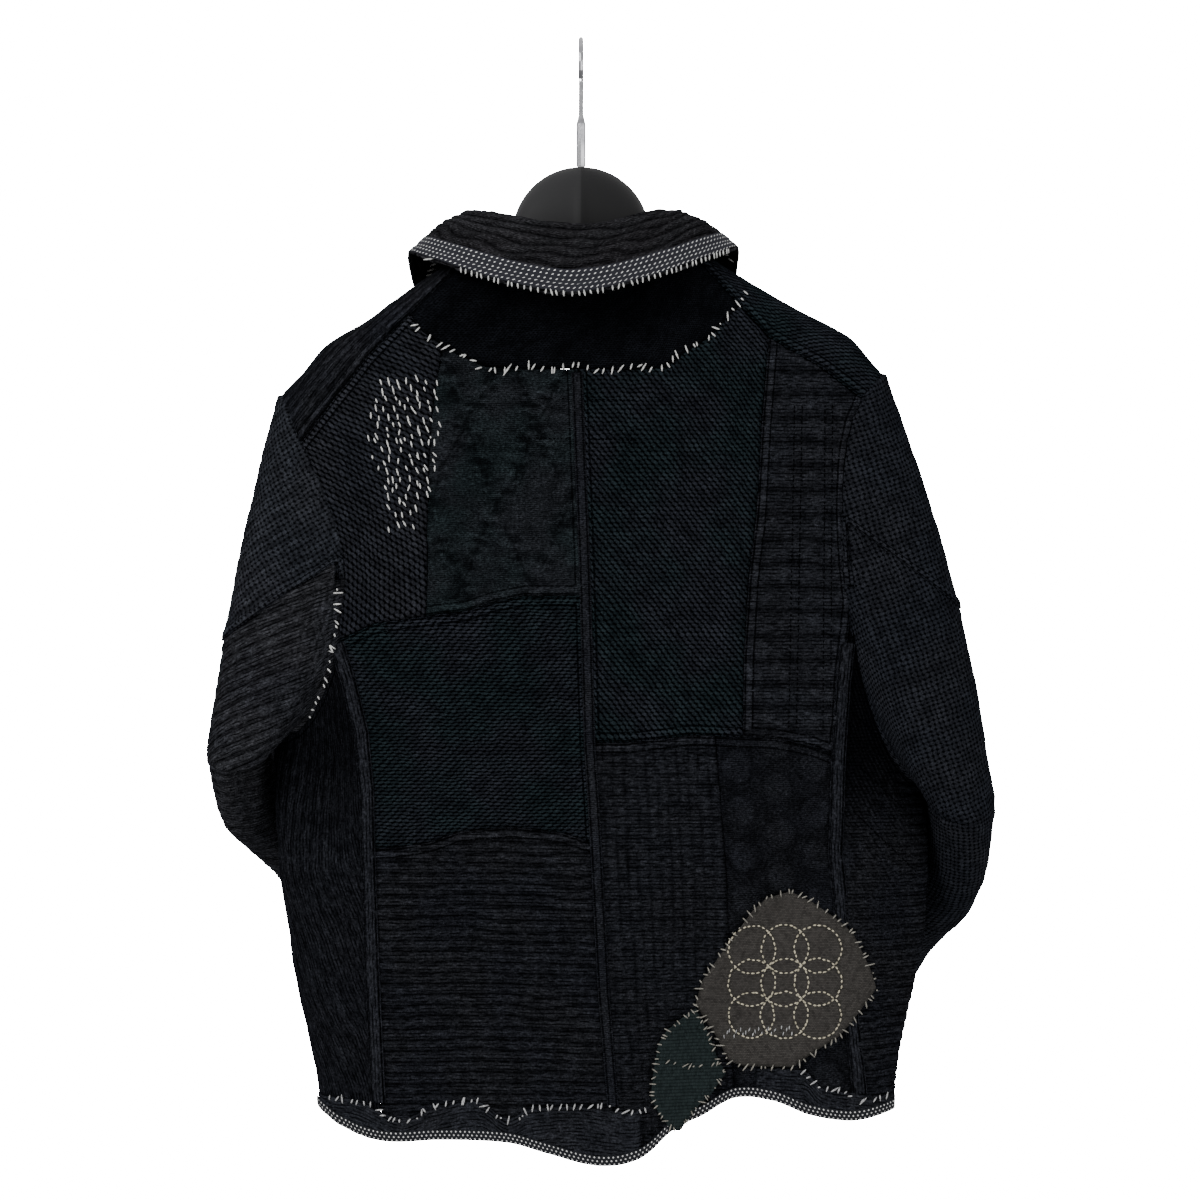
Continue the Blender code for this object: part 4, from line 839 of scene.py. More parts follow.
# %% Thread
def thread(name, dark, light, gloss=0.2):
    look = Finish(name, {"Roughness": 0.8, "Specular IOR Level": gloss})
    twist = look.noise(look.place(), 1.6, 3.0, 0.7)
    look.set({"Base Color": look.blend(look.step(twist, 0.3, 0.7), dark, light)})
    look.height(twist, 0.5, 0.3)
    return look.material


white_thread = thread("thread_white", (0.20, 0.20, 0.20), (0.50, 0.50, 0.48))
grey_thread = thread("thread_grey", (0.11, 0.11, 0.115), (0.32, 0.32, 0.32))
dark_thread = thread("thread_dark", INK_AND_PIT_SHADE, (0.0010, 0.0010, 0.0013), gloss=0.0)
cream_thread = thread("thread_cream", (0.17, 0.155, 0.115), (0.38, 0.345, 0.26))
patch_thread = thread("thread_patch", (0.065, 0.062, 0.054), (0.20, 0.19, 0.165))
print("threads:", sum(material.name.startswith("thread") for material in bpy.data.materials))

# %% Plastic, chrome and horn
plastic = Finish("hanger_plastic", {"Specular IOR Level": 0.12})
grain = plastic.noise(plastic.place(), 0.8, 2.0)
scuff = plastic.step(plastic.noise(plastic.place(), 22, 5.0, 0.7), 0.45, 0.75)
# Painted light: the left half of the plastic is drawn lighter, the right half darker.
half = plastic.step(plastic.x_and_y(plastic.place())[0], -0.0008, 0.0008)
lit_left_half = plastic.blend(scuff * 0.6, (0.0110, 0.0110, 0.0116), (0.0150, 0.0150, 0.0156))
shaded_right_half = plastic.blend(scuff * 0.6, (0.0045, 0.0045, 0.0048), (0.0075, 0.0075, 0.0078))
plastic.set({"Base Color": plastic.blend(half, lit_left_half, shaded_right_half), "Roughness": scuff * 0.14 + 0.60})
plastic.height(grain, 0.12, 0.15)

chrome = Finish("hook_chrome", {"Metallic": 1.0})
smear = chrome.step(chrome.noise(chrome.place(), 9, 4.0), 0.3, 0.8)
chrome.set({"Base Color": chrome.blend(smear, (0.27, 0.27, 0.28), (0.15, 0.15, 0.16)),
            "Roughness": smear * 0.10 + 0.12})

horn = Finish("button_horn", {"Specular IOR Level": 0.5, "Coat Roughness": 0.2})
streak = horn.noise(horn.node("Mapping", {}, {"Vector": horn.place(), "Scale": (1.0, 1.0, 0.25)}), 3.0, 4.0, 0.7)
horn.set({"Base Color": horn.blend(horn.step(streak, 0.35, 0.7), (0.012, 0.008, 0.006), (0.060, 0.040, 0.026)),
          "Roughness": streak * 0.3 + 0.2})
print("finishes in all:", len(bpy.data.materials))

# %% [markdown]
# ## The back
#
# Eight panels of different quilted cottons and a yoke under the collar. The
# seams are shared, so each panel is described by the four lines around it. The
# coarse quilting is real relief; the finer stitches are bump.


# %% Relief of the coarse quilting, 0 in a groove and 1 on a ridge
def rows_of(pitch, wander=2.0, size=26.0, seed=5):
    def pattern(x, y):
        return np.abs(np.sin(pi * (y + wander * rumple(x, y, size, seed)) / pitch)) ** 0.55
    return pattern


def columns_of(pitch, wander=2.0, size=26.0, seed=6):
    rows = rows_of(pitch, wander, size, seed)
    return lambda x, y: rows(y, x)


def grid_of(pitch_x, pitch_y, wander=1.5):
    across, down = columns_of(pitch_x, wander), rows_of(pitch_y, wander)
    return lambda x, y: np.minimum(across(x, y), down(x, y))


def diamonds_of(wide, tall, wander=2.5):
    """Puffed diamonds: the cloth gathers into small puckers along the stitched lines."""
    def pattern(x, y):
        x, y = x + wander * rumple(x, y, 22, 8), y + wander * rumple(x, y, 22, 9)
        one = np.abs(np.sin(pi * (x / wide + y / tall)))
        two = np.abs(np.sin(pi * (x / wide - y / tall)))
        near = np.minimum(one, two) + 0.07 * rumple(x, y, 6.0, 15)
        folds = 0.9 * rumple(x * 0.6, y * 1.6, 5.0, 12) * (0.3 + np.exp(-(near / 0.4) ** 2))
        stitched = 0.3 + 0.7 * smooth((near - 0.02) / 0.13) - 0.3 * smooth((0.07 - np.abs(near - 0.30)) / 0.06)
        return np.maximum(0.25, stitched + folds)
    return pattern


def spots_of(wide, tall, radius):
    """Smooth round spots in staggered columns, with puckered rows of stitching between them."""
    def pattern(x, y):
        column = np.floor(x / wide)
        u = (x / wide - column - 0.5) * wide
        v = ((y / tall + 0.5 * column) % 1.0 - 0.5) * tall
        far = np.sqrt(u ** 2 + v ** 2) + 1.5 * rumple(x, y, 9, 14)
        puckers = 0.5 * np.abs(np.sin(pi * far / 3.6)) * smooth((far - radius - 1.5) / 3)
        return smooth((radius + 3.0 - far) / 3.5) + puckers
    return pattern


def shaded(pattern, share):
    """A pattern that sinks above a height of -650, where the sleeve hangs over the side."""
    return lambda x, y: np.maximum(0, pattern(x, y) - share * smooth((650 - y) / 90))


def even(x, y):
    return np.ones_like(x)


print("rows at 8 mm, half way up a ridge:", rows_of(8.0)(np.array(0.0), np.array(2.0)).round(2))



# %% A panel between four seams
GRID_WIDTH_SHARE = 0.72     # way round the body is longer than x, so fewer columns will do


def away_from_body(points):
    return points * (1, 1, 0) - (MIDDLE_X, 0, 0)


def panel(name, lines, finish, pattern=even, depth=0.0, step=(2.6, 2.6), lift=0.0, way=on_girth, **more):
    """A piece between four seams: top, bottom, left and right. step is the size of a cell of its grid."""
    top, bottom, left, right = [way(line) for line in lines]
    wide = max(np.ptp(top[:, 0]), np.ptp(bottom[:, 0])) * GRID_WIDTH_SHARE
    tall = max(np.ptp(left[:, 1]), np.ptp(right[:, 1]))
    grid = coons(top, bottom, left, right, int(max(8, wide / step[0])), int(max(8, tall / step[1])))
    points = body_at_girth(grid[..., 0], grid[..., 1])
    if callable(lift):
        lift = lift(points[..., 0])
    return cloth_piece(name, points, away_from_body(points), finish, pattern, depth, lift, level=True, **more)


print("columns in 100 mm of way round:", int(100 * GRID_WIDTH_SHARE / 2.6))

# %% [markdown]
# ## Panels of the back
#
# The neck seam is a circle seen from above, and dips behind. Each panel names
# its four seams, its cotton and its quilting. Its felled edges were read off the
# photograph, where the upper cloth of a seam shows a flat band with two rows of
# stitches.


# %% The neck, and the panels
NECK_HALF_WIDTH, NECK_BACK_Z, NECK_FRONT_TURN, SHOULDER_FRONT_TURN = 88.0, -186.0, 135.0, 99.0
YOKE_TURN = 68.0        # the yoke reaches so far round the neck


def neck_height(turn):
    """Height of the neck seam at a turn round the neck: 0 behind, 90 at the side."""
    turn = np.asarray(turn, float)
    side_z = ridge(np.copysign(NECK_HALF_WIDTH, turn))
    near = NECK_BACK_Z + (side_z - NECK_BACK_Z) * np.sin(np.radians(np.abs(turn))) ** 2
    far = side_z - 40.0 * (np.maximum(0, np.abs(turn) - 90) / 45.0) ** 1.3
    return np.where(np.abs(turn) <= 90, near, far)


neck_turns = np.linspace(-YOKE_TURN, YOKE_TURN, 13)
neck_seam = list(zip(NECK_HALF_WIDTH * np.sin(np.radians(neck_turns)), neck_height(neck_turns)))
neck_seam[0], neck_seam[-1] = SHOULDER_LEFT[0], SHOULDER_RIGHT[0]
yoke_left, yoke_mid = between(YOKE, -135, -109, 0)[:-1], between(YOKE, -109, -3, 0)
left_end, right_end = between(SHOULDER_LEFT, -81.6, -135, 0), between(SHOULDER_RIGHT, 81.6, 126, 0)

panel("neck_yoke", (neck_seam, YOKE, left_end, right_end), collar_shadow_twill)
panel("back_left_rice", (between(SHOULDER_LEFT, -222, -135, 0)[::-1], between(WELT_LEFT, -192.4, -121, 0),
                         between(ARMHOLE_LEFT, -323, -479), yoke_left + list(RICE_LEFT)), rice_cloth, felled="t")
panel("back_left_lattice", (yoke_mid, between(WELT_LEFT, -121, 4, 0), RICE_LEFT, between(CENTRE, -265, -443)),
      plain_cloth, diamonds_of(56, 124), 1.4, step=(1.6, 1.6), felled="br")
panel("back_left_twill", (WELT_LEFT, LOW_LEFT, between(SIDE_LEFT, -479, -642), between(CENTRE, -443, -637)),
      slanted_cloth, felled="tr")
panel("back_left_rows", (LOW_LEFT, between(HEM, -157, 26, 0), between(SIDE_LEFT, -642, -870),
                         between(CENTRE, -637, -886)), ribbed_cloth, rows_of(8.6, 2.6, 30.0), 1.7,
      step=(2.4, 1.25), felled="t")
panel("back_right_waffle", (between(YOKE, -3, 126, 0), between(LOW_RIGHT, 7, 127, 0), between(CENTRE, -265, -558),
                            between(SHOULDER_RIGHT, 126, 148, 0) + list(WAFFLE_RIGHT[1:])), waffle_cloth,
      felled="lb")
panel("back_right_strip", (between(SHOULDER_RIGHT, 148, 223, 0), between(LOW_RIGHT, 127, 202, 0), WAFFLE_RIGHT,
                           between(ARMHOLE_RIGHT, -289, -452) + between(SIDE_RIGHT, -452, -569)[1:]),
      brown_cloth, rows_of(19.0), 1.3, step=(2.2, 1.6), felled="lrb")
panel("back_right_grid", (between(LOW_RIGHT, 7, 105, 0), between(HEM, 26, 121, 0), between(CENTRE, -558, -886),
                          GRID_RIGHT), brown_cloth, grid_of(8.5, 8.0), 1.1, step=(1.5, 1.5), felled="t")
panel("back_right_spots", (between(LOW_RIGHT, 105, 202, 0), between(HEM, 121, 221, 0), GRID_RIGHT,
                           between(SIDE_RIGHT, -569, -855)), quilt_cloth, spots_of(31.0, 35.0, 10.5), 1.6,
      step=(1.6, 1.6), felled="t")

# %% [markdown]
# ## Over the shoulders and round the sides
#
# A shoulder piece crosses the ridge from back to front, so its flat pattern is
# read in x and in the distance walked down from the ridge. The side panels turn
# from the back seam to the front seam under the arm.


# %% The front's own seams
OVERLAP, OVERLAP_LIFT, LAPEL_BREAK_Z, FRONT_HEM_Z, FRONT_SIDE_SEAM = 60.0, 2.8, -372.0, -851.0, 150.0
HEM_MIDDLE_X, HEM_HALF_WIDTH = width_at(-850)


def hem_line(x, side):
    """Height of the lower edge: behind it is wavy, in front it comes to one height."""
    back = hem_height(x)
    if side > 0:
        return back
    return back + (FRONT_HEM_Z - back) * smooth((1 - np.abs(x - HEM_MIDDLE_X) / HEM_HALF_WIDTH) / 0.25)


def hem_at(girth):
    turn = girth / QUARTER * pi / 2
    x = HEM_MIDDLE_X + HEM_HALF_WIDTH * np.sin(turn)
    return np.where(np.cos(turn) >= 0, hem_line(x, 1), hem_line(x, -1))


def underarm(hand):
    """The armhole, the side seam and the place where they meet, on the left (-1) or the right (1)."""
    armhole, seam = (ARMHOLE_LEFT, SIDE_LEFT) if hand < 0 else (ARMHOLE_RIGHT, SIDE_RIGHT)
    return armhole, seam, between(armhole, armhole[0][1], seam[0][1])[-1]


def front_side_seam(hand):
    """From the underarm the seam swings inwards within 170 mm, then drops straight to the hem."""
    top = underarm(hand)[-1]
    foot = hand * FRONT_SIDE_SEAM + MIDDLE_X
    line = [(top[0] + (foot - top[0]) * (1 - (1 - t) ** 2), top[1] - 170 * t) for t in np.linspace(0, 1, 6)]
    return line + [(foot, float(hem_line(foot, -1)))]


def front_way(line, hand=1):
    """A front seam as way round the body: past the middle it goes on beyond two quarters."""
    spots = points_on(line, np.linspace(0, 1, SEAM_SPOTS))
    middle, half = width_at(spots[:, 1])
    turn = np.arcsin(np.clip((spots[:, 0] - middle) / half, -1, 1)) / (pi / 2)
    return np.stack((QUARTER * (hand * 2.0 - turn), spots[:, 1]), axis=-1)


def front_lift(hand):
    """The left front lies over the right one where they overlap."""
    return lambda x: OVERLAP_LIFT * smooth((x + OVERLAP + 84) / 82) if hand < 0 else 0.0 * x


def front_lines(hand):
    """The four seams of one half of the front: shoulder, hem, overlapping edge and side."""
    armhole, _, meet = underarm(hand)
    turns = np.linspace(SHOULDER_FRONT_TURN, NECK_FRONT_TURN, 6)
    neck = list(zip(hand * NECK_HALF_WIDTH * np.sin(np.radians(turns)), neck_height(hand * turns)))
    shoulder = [neck[0]] + list((SHOULDER_LEFT if hand < 0 else SHOULDER_RIGHT)[1:])
    side_seam = front_side_seam(hand)
    outer = between(armhole, shoulder[-1][1], meet[1]) + side_seam[1:]
    edge = -hand * OVERLAP
    inner = neck + [(edge, LAPEL_BREAK_Z), (edge, FRONT_HEM_Z)]
    xs = np.linspace(edge, side_seam[-1][0], 13)
    return shoulder, list(zip(xs, hem_line(xs, -1))), inner, outer


print("front side seam, left:", [tuple(round(float(v)) for v in p) for p in front_side_seam(-1)])

# %% Shoulders
SHOULDER_COLUMNS, SHOULDER_ROWS = 84, 64
for name, seam, hand, armhole in (("shoulder_left", SHOULDER_LEFT, -1, ARMHOLE_LEFT),
                                  ("shoulder_right", SHOULDER_RIGHT, 1, ARMHOLE_RIGHT)):
    spots = points_on(seam, np.linspace(0, 1, 33))
    back = np.stack((spots[:, 0], walk_of(*spots.T)), -1)
    spots = points_on(front_lines(hand)[0], np.linspace(0, 1, 33))
    front = np.stack((spots[:, 0], -walk_of(*spots.T)), -1)
    turns = np.linspace(YOKE_TURN, SHOULDER_FRONT_TURN, 17)
    xs, zs = NECK_HALF_WIDTH * np.sin(np.radians(turns)) * hand, neck_height(turns * hand)
    neck = np.stack((xs, np.copysign(walk_of(xs, zs), 90 - turns)), -1)
    spots = points_on(between(armhole, armhole[0][1], seam[-1][1]), np.linspace(0, 1, 13))
    tip = np.stack((spots[:, 0], walk_of(*spots.T)), -1)
    arm = np.concatenate((tip[:0:-1], [[tip[0][0], 0.0]], tip[1:] * (1, -1)))
    neck[0], neck[-1], arm[0], arm[-1] = back[0], front[0], back[-1], front[-1]
    grid = coons(back, front, neck, arm, SHOULDER_COLUMNS, SHOULDER_ROWS)
    points = over_shoulder(grid[..., 0], grid[..., 1])
    finish, pattern, depth = (ribbed_cloth, rows_of(9.0), 0.9) if hand < 0 else (waffle_cloth, even, 0.0)
    cloth_piece(name, points, away_from_body(points), finish, pattern, depth, felled="t")

# %% [markdown]
# ## The sides
#
# A side panel starts at the back side seam, turns round under the arm and ends
# at the front side seam. Its top is the lower half of the armhole. A pattern
# that sinks towards the underarm stands in for the shade that the sleeve casts
# there in the photograph.

# %% Side panels
SIDES_CUT = (("side_left", -1, upright_cloth, shaded(columns_of(9.0), 0.55), (2.6, 4.0)),
             ("side_right", 1, ribbed_cloth, shaded(rows_of(8.0), 0.8), (5.0, 2.0)))
for name, hand, finish, pattern, step in SIDES_CUT:
    armhole, seam, _ = underarm(hand)
    low = between(armhole, seam[0][1], armhole[-1][1])
    back_top, front_top = on_girth(low), on_girth(low, -1)
    top = np.concatenate((back_top[:-1], [[hand * QUARTER, armhole[-1][1]]], front_top[::-1][1:]))
    inner, outer = on_girth(front_side_seam(hand), -1), on_girth(seam)
    ways = np.linspace(outer[-1][0], inner[-1][0], 21)
    bottom = np.stack((ways, hem_at(ways)), -1)
    lines = (top[::-1], bottom[::-1], inner, outer) if hand < 0 else (top, bottom, outer, inner)
    panel(name, lines, finish, pattern, 0.9, step, way=lambda line: line, felled="t", proud=1.0)

# %% [markdown]
# ## The front and its lapels
#
# The photograph doesn't show the front, so it is made as such a coat's front
# usually is: two halves that overlap, with a lapel folded back from each. The
# lapels lie on the fronts as sheets of their own, since their cloth differs.

# %% Fronts and lapels
LAPEL_GAP = 0.35
LAPEL_LEFT = (((-66, -208), (-146, -252)), ((46, -376), (36, -384)),
              ((-66, -208), (46, -376)), ((-146, -252), (-60, -332), (36, -384)))
LAPEL_RIGHT = (((66, -206), (146, -248)), ((9, -282), (52, -352)),
               ((66, -206), (9, -282)), ((146, -248), (98, -306), (52, -352)))

for name, hand in (("front_left", -1), ("front_right", 1)):
    panel(name, front_lines(hand), ribbed_cloth, rows_of(9.0), 1.0, (5.0, 2.2), front_lift(hand),
          way=lambda line: front_way(line, hand))
for name, hand, lines in (("lapel_left", -1, LAPEL_LEFT), ("lapel_right", 1, LAPEL_RIGHT)):
    panel(name, lines, collar_shadow_twill, step=(2.5, 2.5), lift=lambda x: front_lift(hand)(x) + LAPEL_GAP + CLOTH,
          way=lambda line: front_way(line, hand), held="folded", ruffled=0.2, edges=0.0)

# %% [markdown]
# ## Sleeves
#
# A sleeve is a tube: closed sections stand square to its middle line, from the
# armhole down to the cuff, and a smooth curve joins each point of one section to
# the same point of the next. It is cut in three: the forearm from the elbow
# down, the upper sleeve, and a cap above a slanting seam.

# %% Sections of a sleeve
# centre x, y, z, half width, half depth, turn of the section in degrees
SLEEVE_LEFT = ((-272.5, 1, -564, 26.5, 61, 0), (-270, 24, -592, 25, 52, 14), (-247, 62, -620, 30, 47, 28),
               (-206, 100, -676, 38, 42, 12), (-168, 124, -744, 42, 39, 4), (-128, 142, -822, 46, 36, 0))
SLEEVE_RIGHT = ((303, 1, -606, 28, 60, 0), (301, 24, -640, 26, 52, -12), (288, 62, -676, 30, 47, -24),
                (254, 98, -722, 38, 43, -12), (222, 122, -776, 42, 39, -4), (192, 138, -834, 46, 36, 0))
SEAM_LEFT, SEAM_RIGHT = ((-191, -415), (-281, -476)), ((209, -385), (301, -453))
BELOW_ELBOW = {"left": (("forearm", 1.0, 6.0),), "right": (("forearm", 1.0, 3.2), ("cuff", 3.2, 6.0))}
print("the left sleeve has", len(SLEEVE_LEFT), "sections and the right one", len(SLEEVE_RIGHT))

# %% [markdown]
# ## Where a sleeve meets the body
#
# The sleeve's head lies on the body's panels, clear of them by a hair, and its
# first row is tucked under their edges, as a sewn seam is. So the armhole is
# worked out twice, once over the panels and once under them. Its points crowd
# together at the shoulder tip and the underarm, where the cloth turns sharply.


# %% The armhole as a loop
CROWDING, UNDERARM_EASE, LAYER_GAP = 0.5, 2.2, 0.35
UNDER = -2.6            # the tucked row's height over the panels
ARMHOLE_SPOTS = 91


def armhole_loop(armhole, hand, u, clear=True):
    """The armhole as a closed line: 0 shoulder tip, 0.25 behind, 0.5 underarm, 0.75 in front."""
    shares = np.linspace(0, 1, ARMHOLE_SPOTS)
    half = np.where(u <= 0.5, u * 2, (1 - u) * 2)
    loop = np.zeros((len(u), 3))

    def ways(share, side):
        spots = points_on(armhole, share)
        way = girth_of(spots[:, 0], spots[:, 1], side)
        return np.where(share > 0.999, hand * QUARTER, way), spots[:, 1]

    for side, mine in ((1, u <= 0.5), (-1, u > 0.5)):
        spots = body_at_girth(*ways(shares, side))
        walked = np.concatenate(((0.0,), np.cumsum(np.linalg.norm(np.diff(spots, axis=0), axis=1))))
        wanted = (half[mine] - CROWDING * np.sin(2 * pi * half[mine]) / (2 * pi)) * walked[-1]
        way, z = ways(np.interp(wanted, walked, shares), side)
        out = np.cross(body_at_girth(way + 2, z) - body_at_girth(way - 2, z),
                       body_at_girth(way, z - 2) - body_at_girth(way, z + 2))
        out /= np.linalg.norm(out, axis=1, keepdims=True)
        out *= np.sign(out @ np.array((hand, -side, 0.0)))[:, None]
        out += np.array((hand, 0.0, 1.0)) * smooth(1 - half[mine] / 0.12)[:, None]
        out /= np.linalg.norm(out, axis=1, keepdims=True)
        over = CLOTH + LAYER_GAP + UNDERARM_EASE * smooth((half[mine] - 0.6) / 0.35)
        loop[mine] = body_at_girth(way, z) + out * (over if clear else np.full_like(over, UNDER))[:, None]
    return loop


print("round the left armhole:", len(armhole_loop(ARMHOLE_LEFT, -1, np.linspace(0, 1, 121) % 1.0)), "places")

# %% [markdown]
# ## The tube of a sleeve
#
# A Catmull-Rom curve joins the sections, because it passes through each of them
# and bends softly at the elbow. The head, between the armhole and the first
# section, is straight instead, with a bulge over the shoulder.


# %% Sections and the curve between them
SLEEVE_BULGE, SIDE_BULGE, HEAD_FALL = {-1: 5.0, 1: 11.0}, 4.0, 0.28


def sleeve_rings(rows, hand, u):
    """The sections of a sleeve, each an ellipse square to the way that the sleeve runs there."""
    centres = [np.array(row[:3], float) for row in rows]
    rings = []
    for i, (x, y, z, half_width, half_depth, turn) in enumerate(rows):
        ahead = centres[min(i + 1, len(rows) - 1)] - centres[max(i - 1, 0)]
        if i == 0:
            ahead = np.array((0.0, HEAD_FALL, -1.0))
        ahead = ahead / np.linalg.norm(ahead)
        deep = np.array((sin(radians(turn)), cos(radians(turn)), 0.0))
        deep = deep - ahead * (deep @ ahead)
        deep /= np.linalg.norm(deep)
        wide = np.cross(deep, ahead)
        wide = wide if wide[0] * hand > 0 else -wide
        angle = u[:, None] * 2 * pi
        rings.append(centres[i] + wide * half_width * np.cos(angle) - deep * half_depth * np.sin(angle))
    return rings


def tube(rings, u, v, hand):
    """Points of the sleeve: u is one value a column, v is the place along it, one value a point."""
    rings = np.array(rings)
    last = len(rings) - 1
    v = np.clip(v, 0.0, last - 1e-6)
    i = v.astype(int)
    t = (v - i)[..., None]
    column = np.broadcast_to(np.arange(len(u)), v.shape)
    p0, p1 = rings[np.maximum(i - 1, 1), column], rings[i, column]
    p2, p3 = rings[i + 1, column], rings[np.minimum(i + 2, last), column]
    curved = 0.5 * (2 * p1 + (p2 - p0) * t + (2 * p0 - 5 * p1 + 4 * p2 - p3) * t ** 2
                    + (3 * p1 - p0 - 3 * p2 + p3) * t ** 3)
    side, top = np.sin(u * 2 * pi), np.maximum(0.0, np.cos(u * 2 * pi))
    bulge = SLEEVE_BULGE[hand] * top + SIDE_BULGE * np.abs(side)
    lean = np.stack((0.9 * top * hand, -np.sign(side), 0 * side), -1) * bulge[:, None]
    head = p1 * (1 - t) + p2 * t + lean[None] * np.sin(pi * t)
    return np.where((i == 0)[..., None], head, curved)


print("a sleeve's head bulges by", SLEEVE_BULGE, "mm")


# %% A grid on the tube
TUCK = 7.0              # the tucked row goes so far under the body's panels
FROM_TOP = 0.2501       # the cap covers a quarter turn on each side of the top
HALVINGS = 18


def rings_of(side, u):
    armhole, rows, hand = SLEEVES[side][:3]
    return [armhole_loop(armhole, hand, u)] + sleeve_rings(rows, hand, u)


def sleeve_grid(side, u, start, end, count):
    """Points between two places along the tube, which may differ from column to column, and the tube's sections."""
    armhole, _, hand = SLEEVES[side][:3]
    rings = rings_of(side, u)
    v = start + (end - start) * np.linspace(0, 1, count + 1)[:, None]
    points = tube(rings, u, np.broadcast_to(v, (count + 1, len(u))), hand)
    if np.ndim(start) or start == 0.0:       # the head is tucked under the body's own edge
        inner = armhole_loop(armhole, hand, u, clear=False)
        out, way = unit(points[0] - inner), inner - armhole_loop(armhole, hand, AROUND, clear=False).mean(axis=0)
        under = inner + TUCK * unit(way - out * (way * out).sum(axis=1, keepdims=True))
        tucked = np.where((v[0] < 0.02)[:, None], under, points[0] + 0.5 * (points[0] - points[1]))
        points = np.concatenate((tucked[None], points))
    return points, rings


def slanting_seam(side, u):
    """How far down the tube a straight line across it lies, found by halving."""
    hand, ((x0, z0), (x1, z1)) = SLEEVES[side][2:4]
    rings = rings_of(side, u)
    above, below = np.zeros(len(u)), np.ones(len(u))
    for _ in range(HALVINGS):
        middle = (above + below) / 2
        x, _, z = tube(rings, u, middle[None], hand)[0].T
        over = z > z0 + (x - x0) * (z1 - z0) / (x1 - x0)
        above, below = np.where(over, middle, above), np.where(over, below, middle)
    return np.where(np.minimum(u % 1.0, 1 - u % 1.0) < FROM_TOP, np.maximum(0.015, below), 0.0)


def away_from_sections(points, rings):
    """The way from the middle of the nearest section."""
    middle = np.array([ring.mean(axis=0) for ring in rings])
    far = np.linalg.norm(points[:, :, None, :] - middle[None, None], axis=3)
    return points - middle[far.argmin(axis=2)]


# armhole, sections, hand, slanting seam, way of the threads in cap and upper sleeve, rows of a grid
SLEEVES = {"left": (ARMHOLE_LEFT, SLEEVE_LEFT, -1, SEAM_LEFT, (0.50, -0.866), (0.36, -0.933), 120, 22),
           "right": (ARMHOLE_RIGHT, SLEEVE_RIGHT, 1, SEAM_RIGHT, (0.31, -0.95), (0.31, -0.95), 60, 16)}
AROUND, OVER_TOP = np.linspace(0, 1, 121) % 1.0, np.linspace(-0.25, 0.25, 73) % 1.0
print("the left slanting seam is", float(slanting_seam("left", np.zeros(1))[0].round(2)), "down the head")

# %% [markdown]
# ## The cut pieces of each sleeve
#
# The caps are the paler, newer cloth. The left sleeve is quilted in rows, which
# run aslant as its cloth was cut, and the right one is woven in small squares.
# In the photograph the left forearm is hollow below the elbow, where the sleeve
# folds, so a broad dent is pressed into it.

# %% Caps, upper sleeves, forearms and the cuff
HOLLOW, HOLLOW_TURN, HOLLOW_WIDTH = -9.0, 0.33, 0.13
CAP_COLUMN, BACK_COLUMN = 54, 30        # the columns that the cloth of a piece is measured from
for side, (_, _, hand, _, cap_way, upper_way, upper_rows, rows_a_section) in SLEEVES.items():
    weave, quilting = (sleeve_cloth, rows_of(9.6, 1.6)) if hand < 0 else (square_cloth, even)
    cap_finish, cap_quilting = (cap_cloth, rows_of(9.6, 2.6)) if hand < 0 else (square_cloth, even)
    seam = slanting_seam(side, OVER_TOP)
    points, rings = sleeve_grid(side, OVER_TOP, 0.0, seam, 60)
    cloth_piece("sleeve_%s_cap" % side, points, away_from_sections(points, rings), cap_finish, cap_quilting, 1.2,
                felled="b", proud=1.3, edges=0.0, centre=CAP_COLUMN, along=cap_way)
    points, rings = sleeve_grid(side, AROUND, slanting_seam(side, AROUND), 1.0, upper_rows)
    cloth_piece("sleeve_%s_upper" % side, points, away_from_sections(points, rings), weave, quilting, 1.3,
                wraps=True, edges=0.3, centre=BACK_COLUMN, along=upper_way)
    for part, start, end in BELOW_ELBOW[side]:
        points, rings = sleeve_grid(side, AROUND, start, end, int(rows_a_section * (end - start)))
        down = np.linspace(start, end, len(points))[:, None]
        hollow = HOLLOW * smooth((down - 1.0) / 0.15) * smooth((2.2 - down) / 1.0)
        hollow = hollow * np.exp(-((AROUND - HOLLOW_TURN) / HOLLOW_WIDTH) ** 2) * (hand < 0)
        cloth_piece("sleeve_%s_%s" % (side, part), points, away_from_sections(points, rings), weave, quilting, 1.2,
                    hollow, wraps=True, edges=0.8, centre=BACK_COLUMN)

# %% [markdown]
# ## The collar
#
# The collar stands up from the neck seam and falls back over itself. Its fall is
# quilted in wavy rows, and its edge is bound with dotted tape. Three lines tell
# its shape, all by the turn round the neck: the neck seam, the roll and the
# lower edge.


# %% Lines of the collar
COLLAR_MIDDLE_X, COLLAR_SIDE_TURN = -6.0, 84.0
ROLL_HALF_WIDTH, EDGE_HALF_WIDTH = 80.0, 133.0


def collar_depth(turn, back_y, front_y, run):
    """y of a line of the collar: a circle behind, and forward past the side turn."""
    side = np.cos(np.radians(COLLAR_SIDE_TURN))
    behind = back_y * np.cos(np.radians(turn))
    front = back_y * side + front_y * smooth((np.abs(turn) - COLLAR_SIDE_TURN + 4) / run)
    return np.where(np.abs(turn) < COLLAR_SIDE_TURN, behind, front)


def roll_points(turn):
    side = np.sin(np.radians(turn))
    z = -151 + 17 * side ** 2 * (1.6 - 0.6 * side ** 2) - 56 * (np.maximum(0.0, np.abs(turn) - 88) / 47) ** 1.15
    return np.stack((COLLAR_MIDDLE_X + ROLL_HALF_WIDTH * side, collar_depth(turn, -62, 62, 44), z), -1)


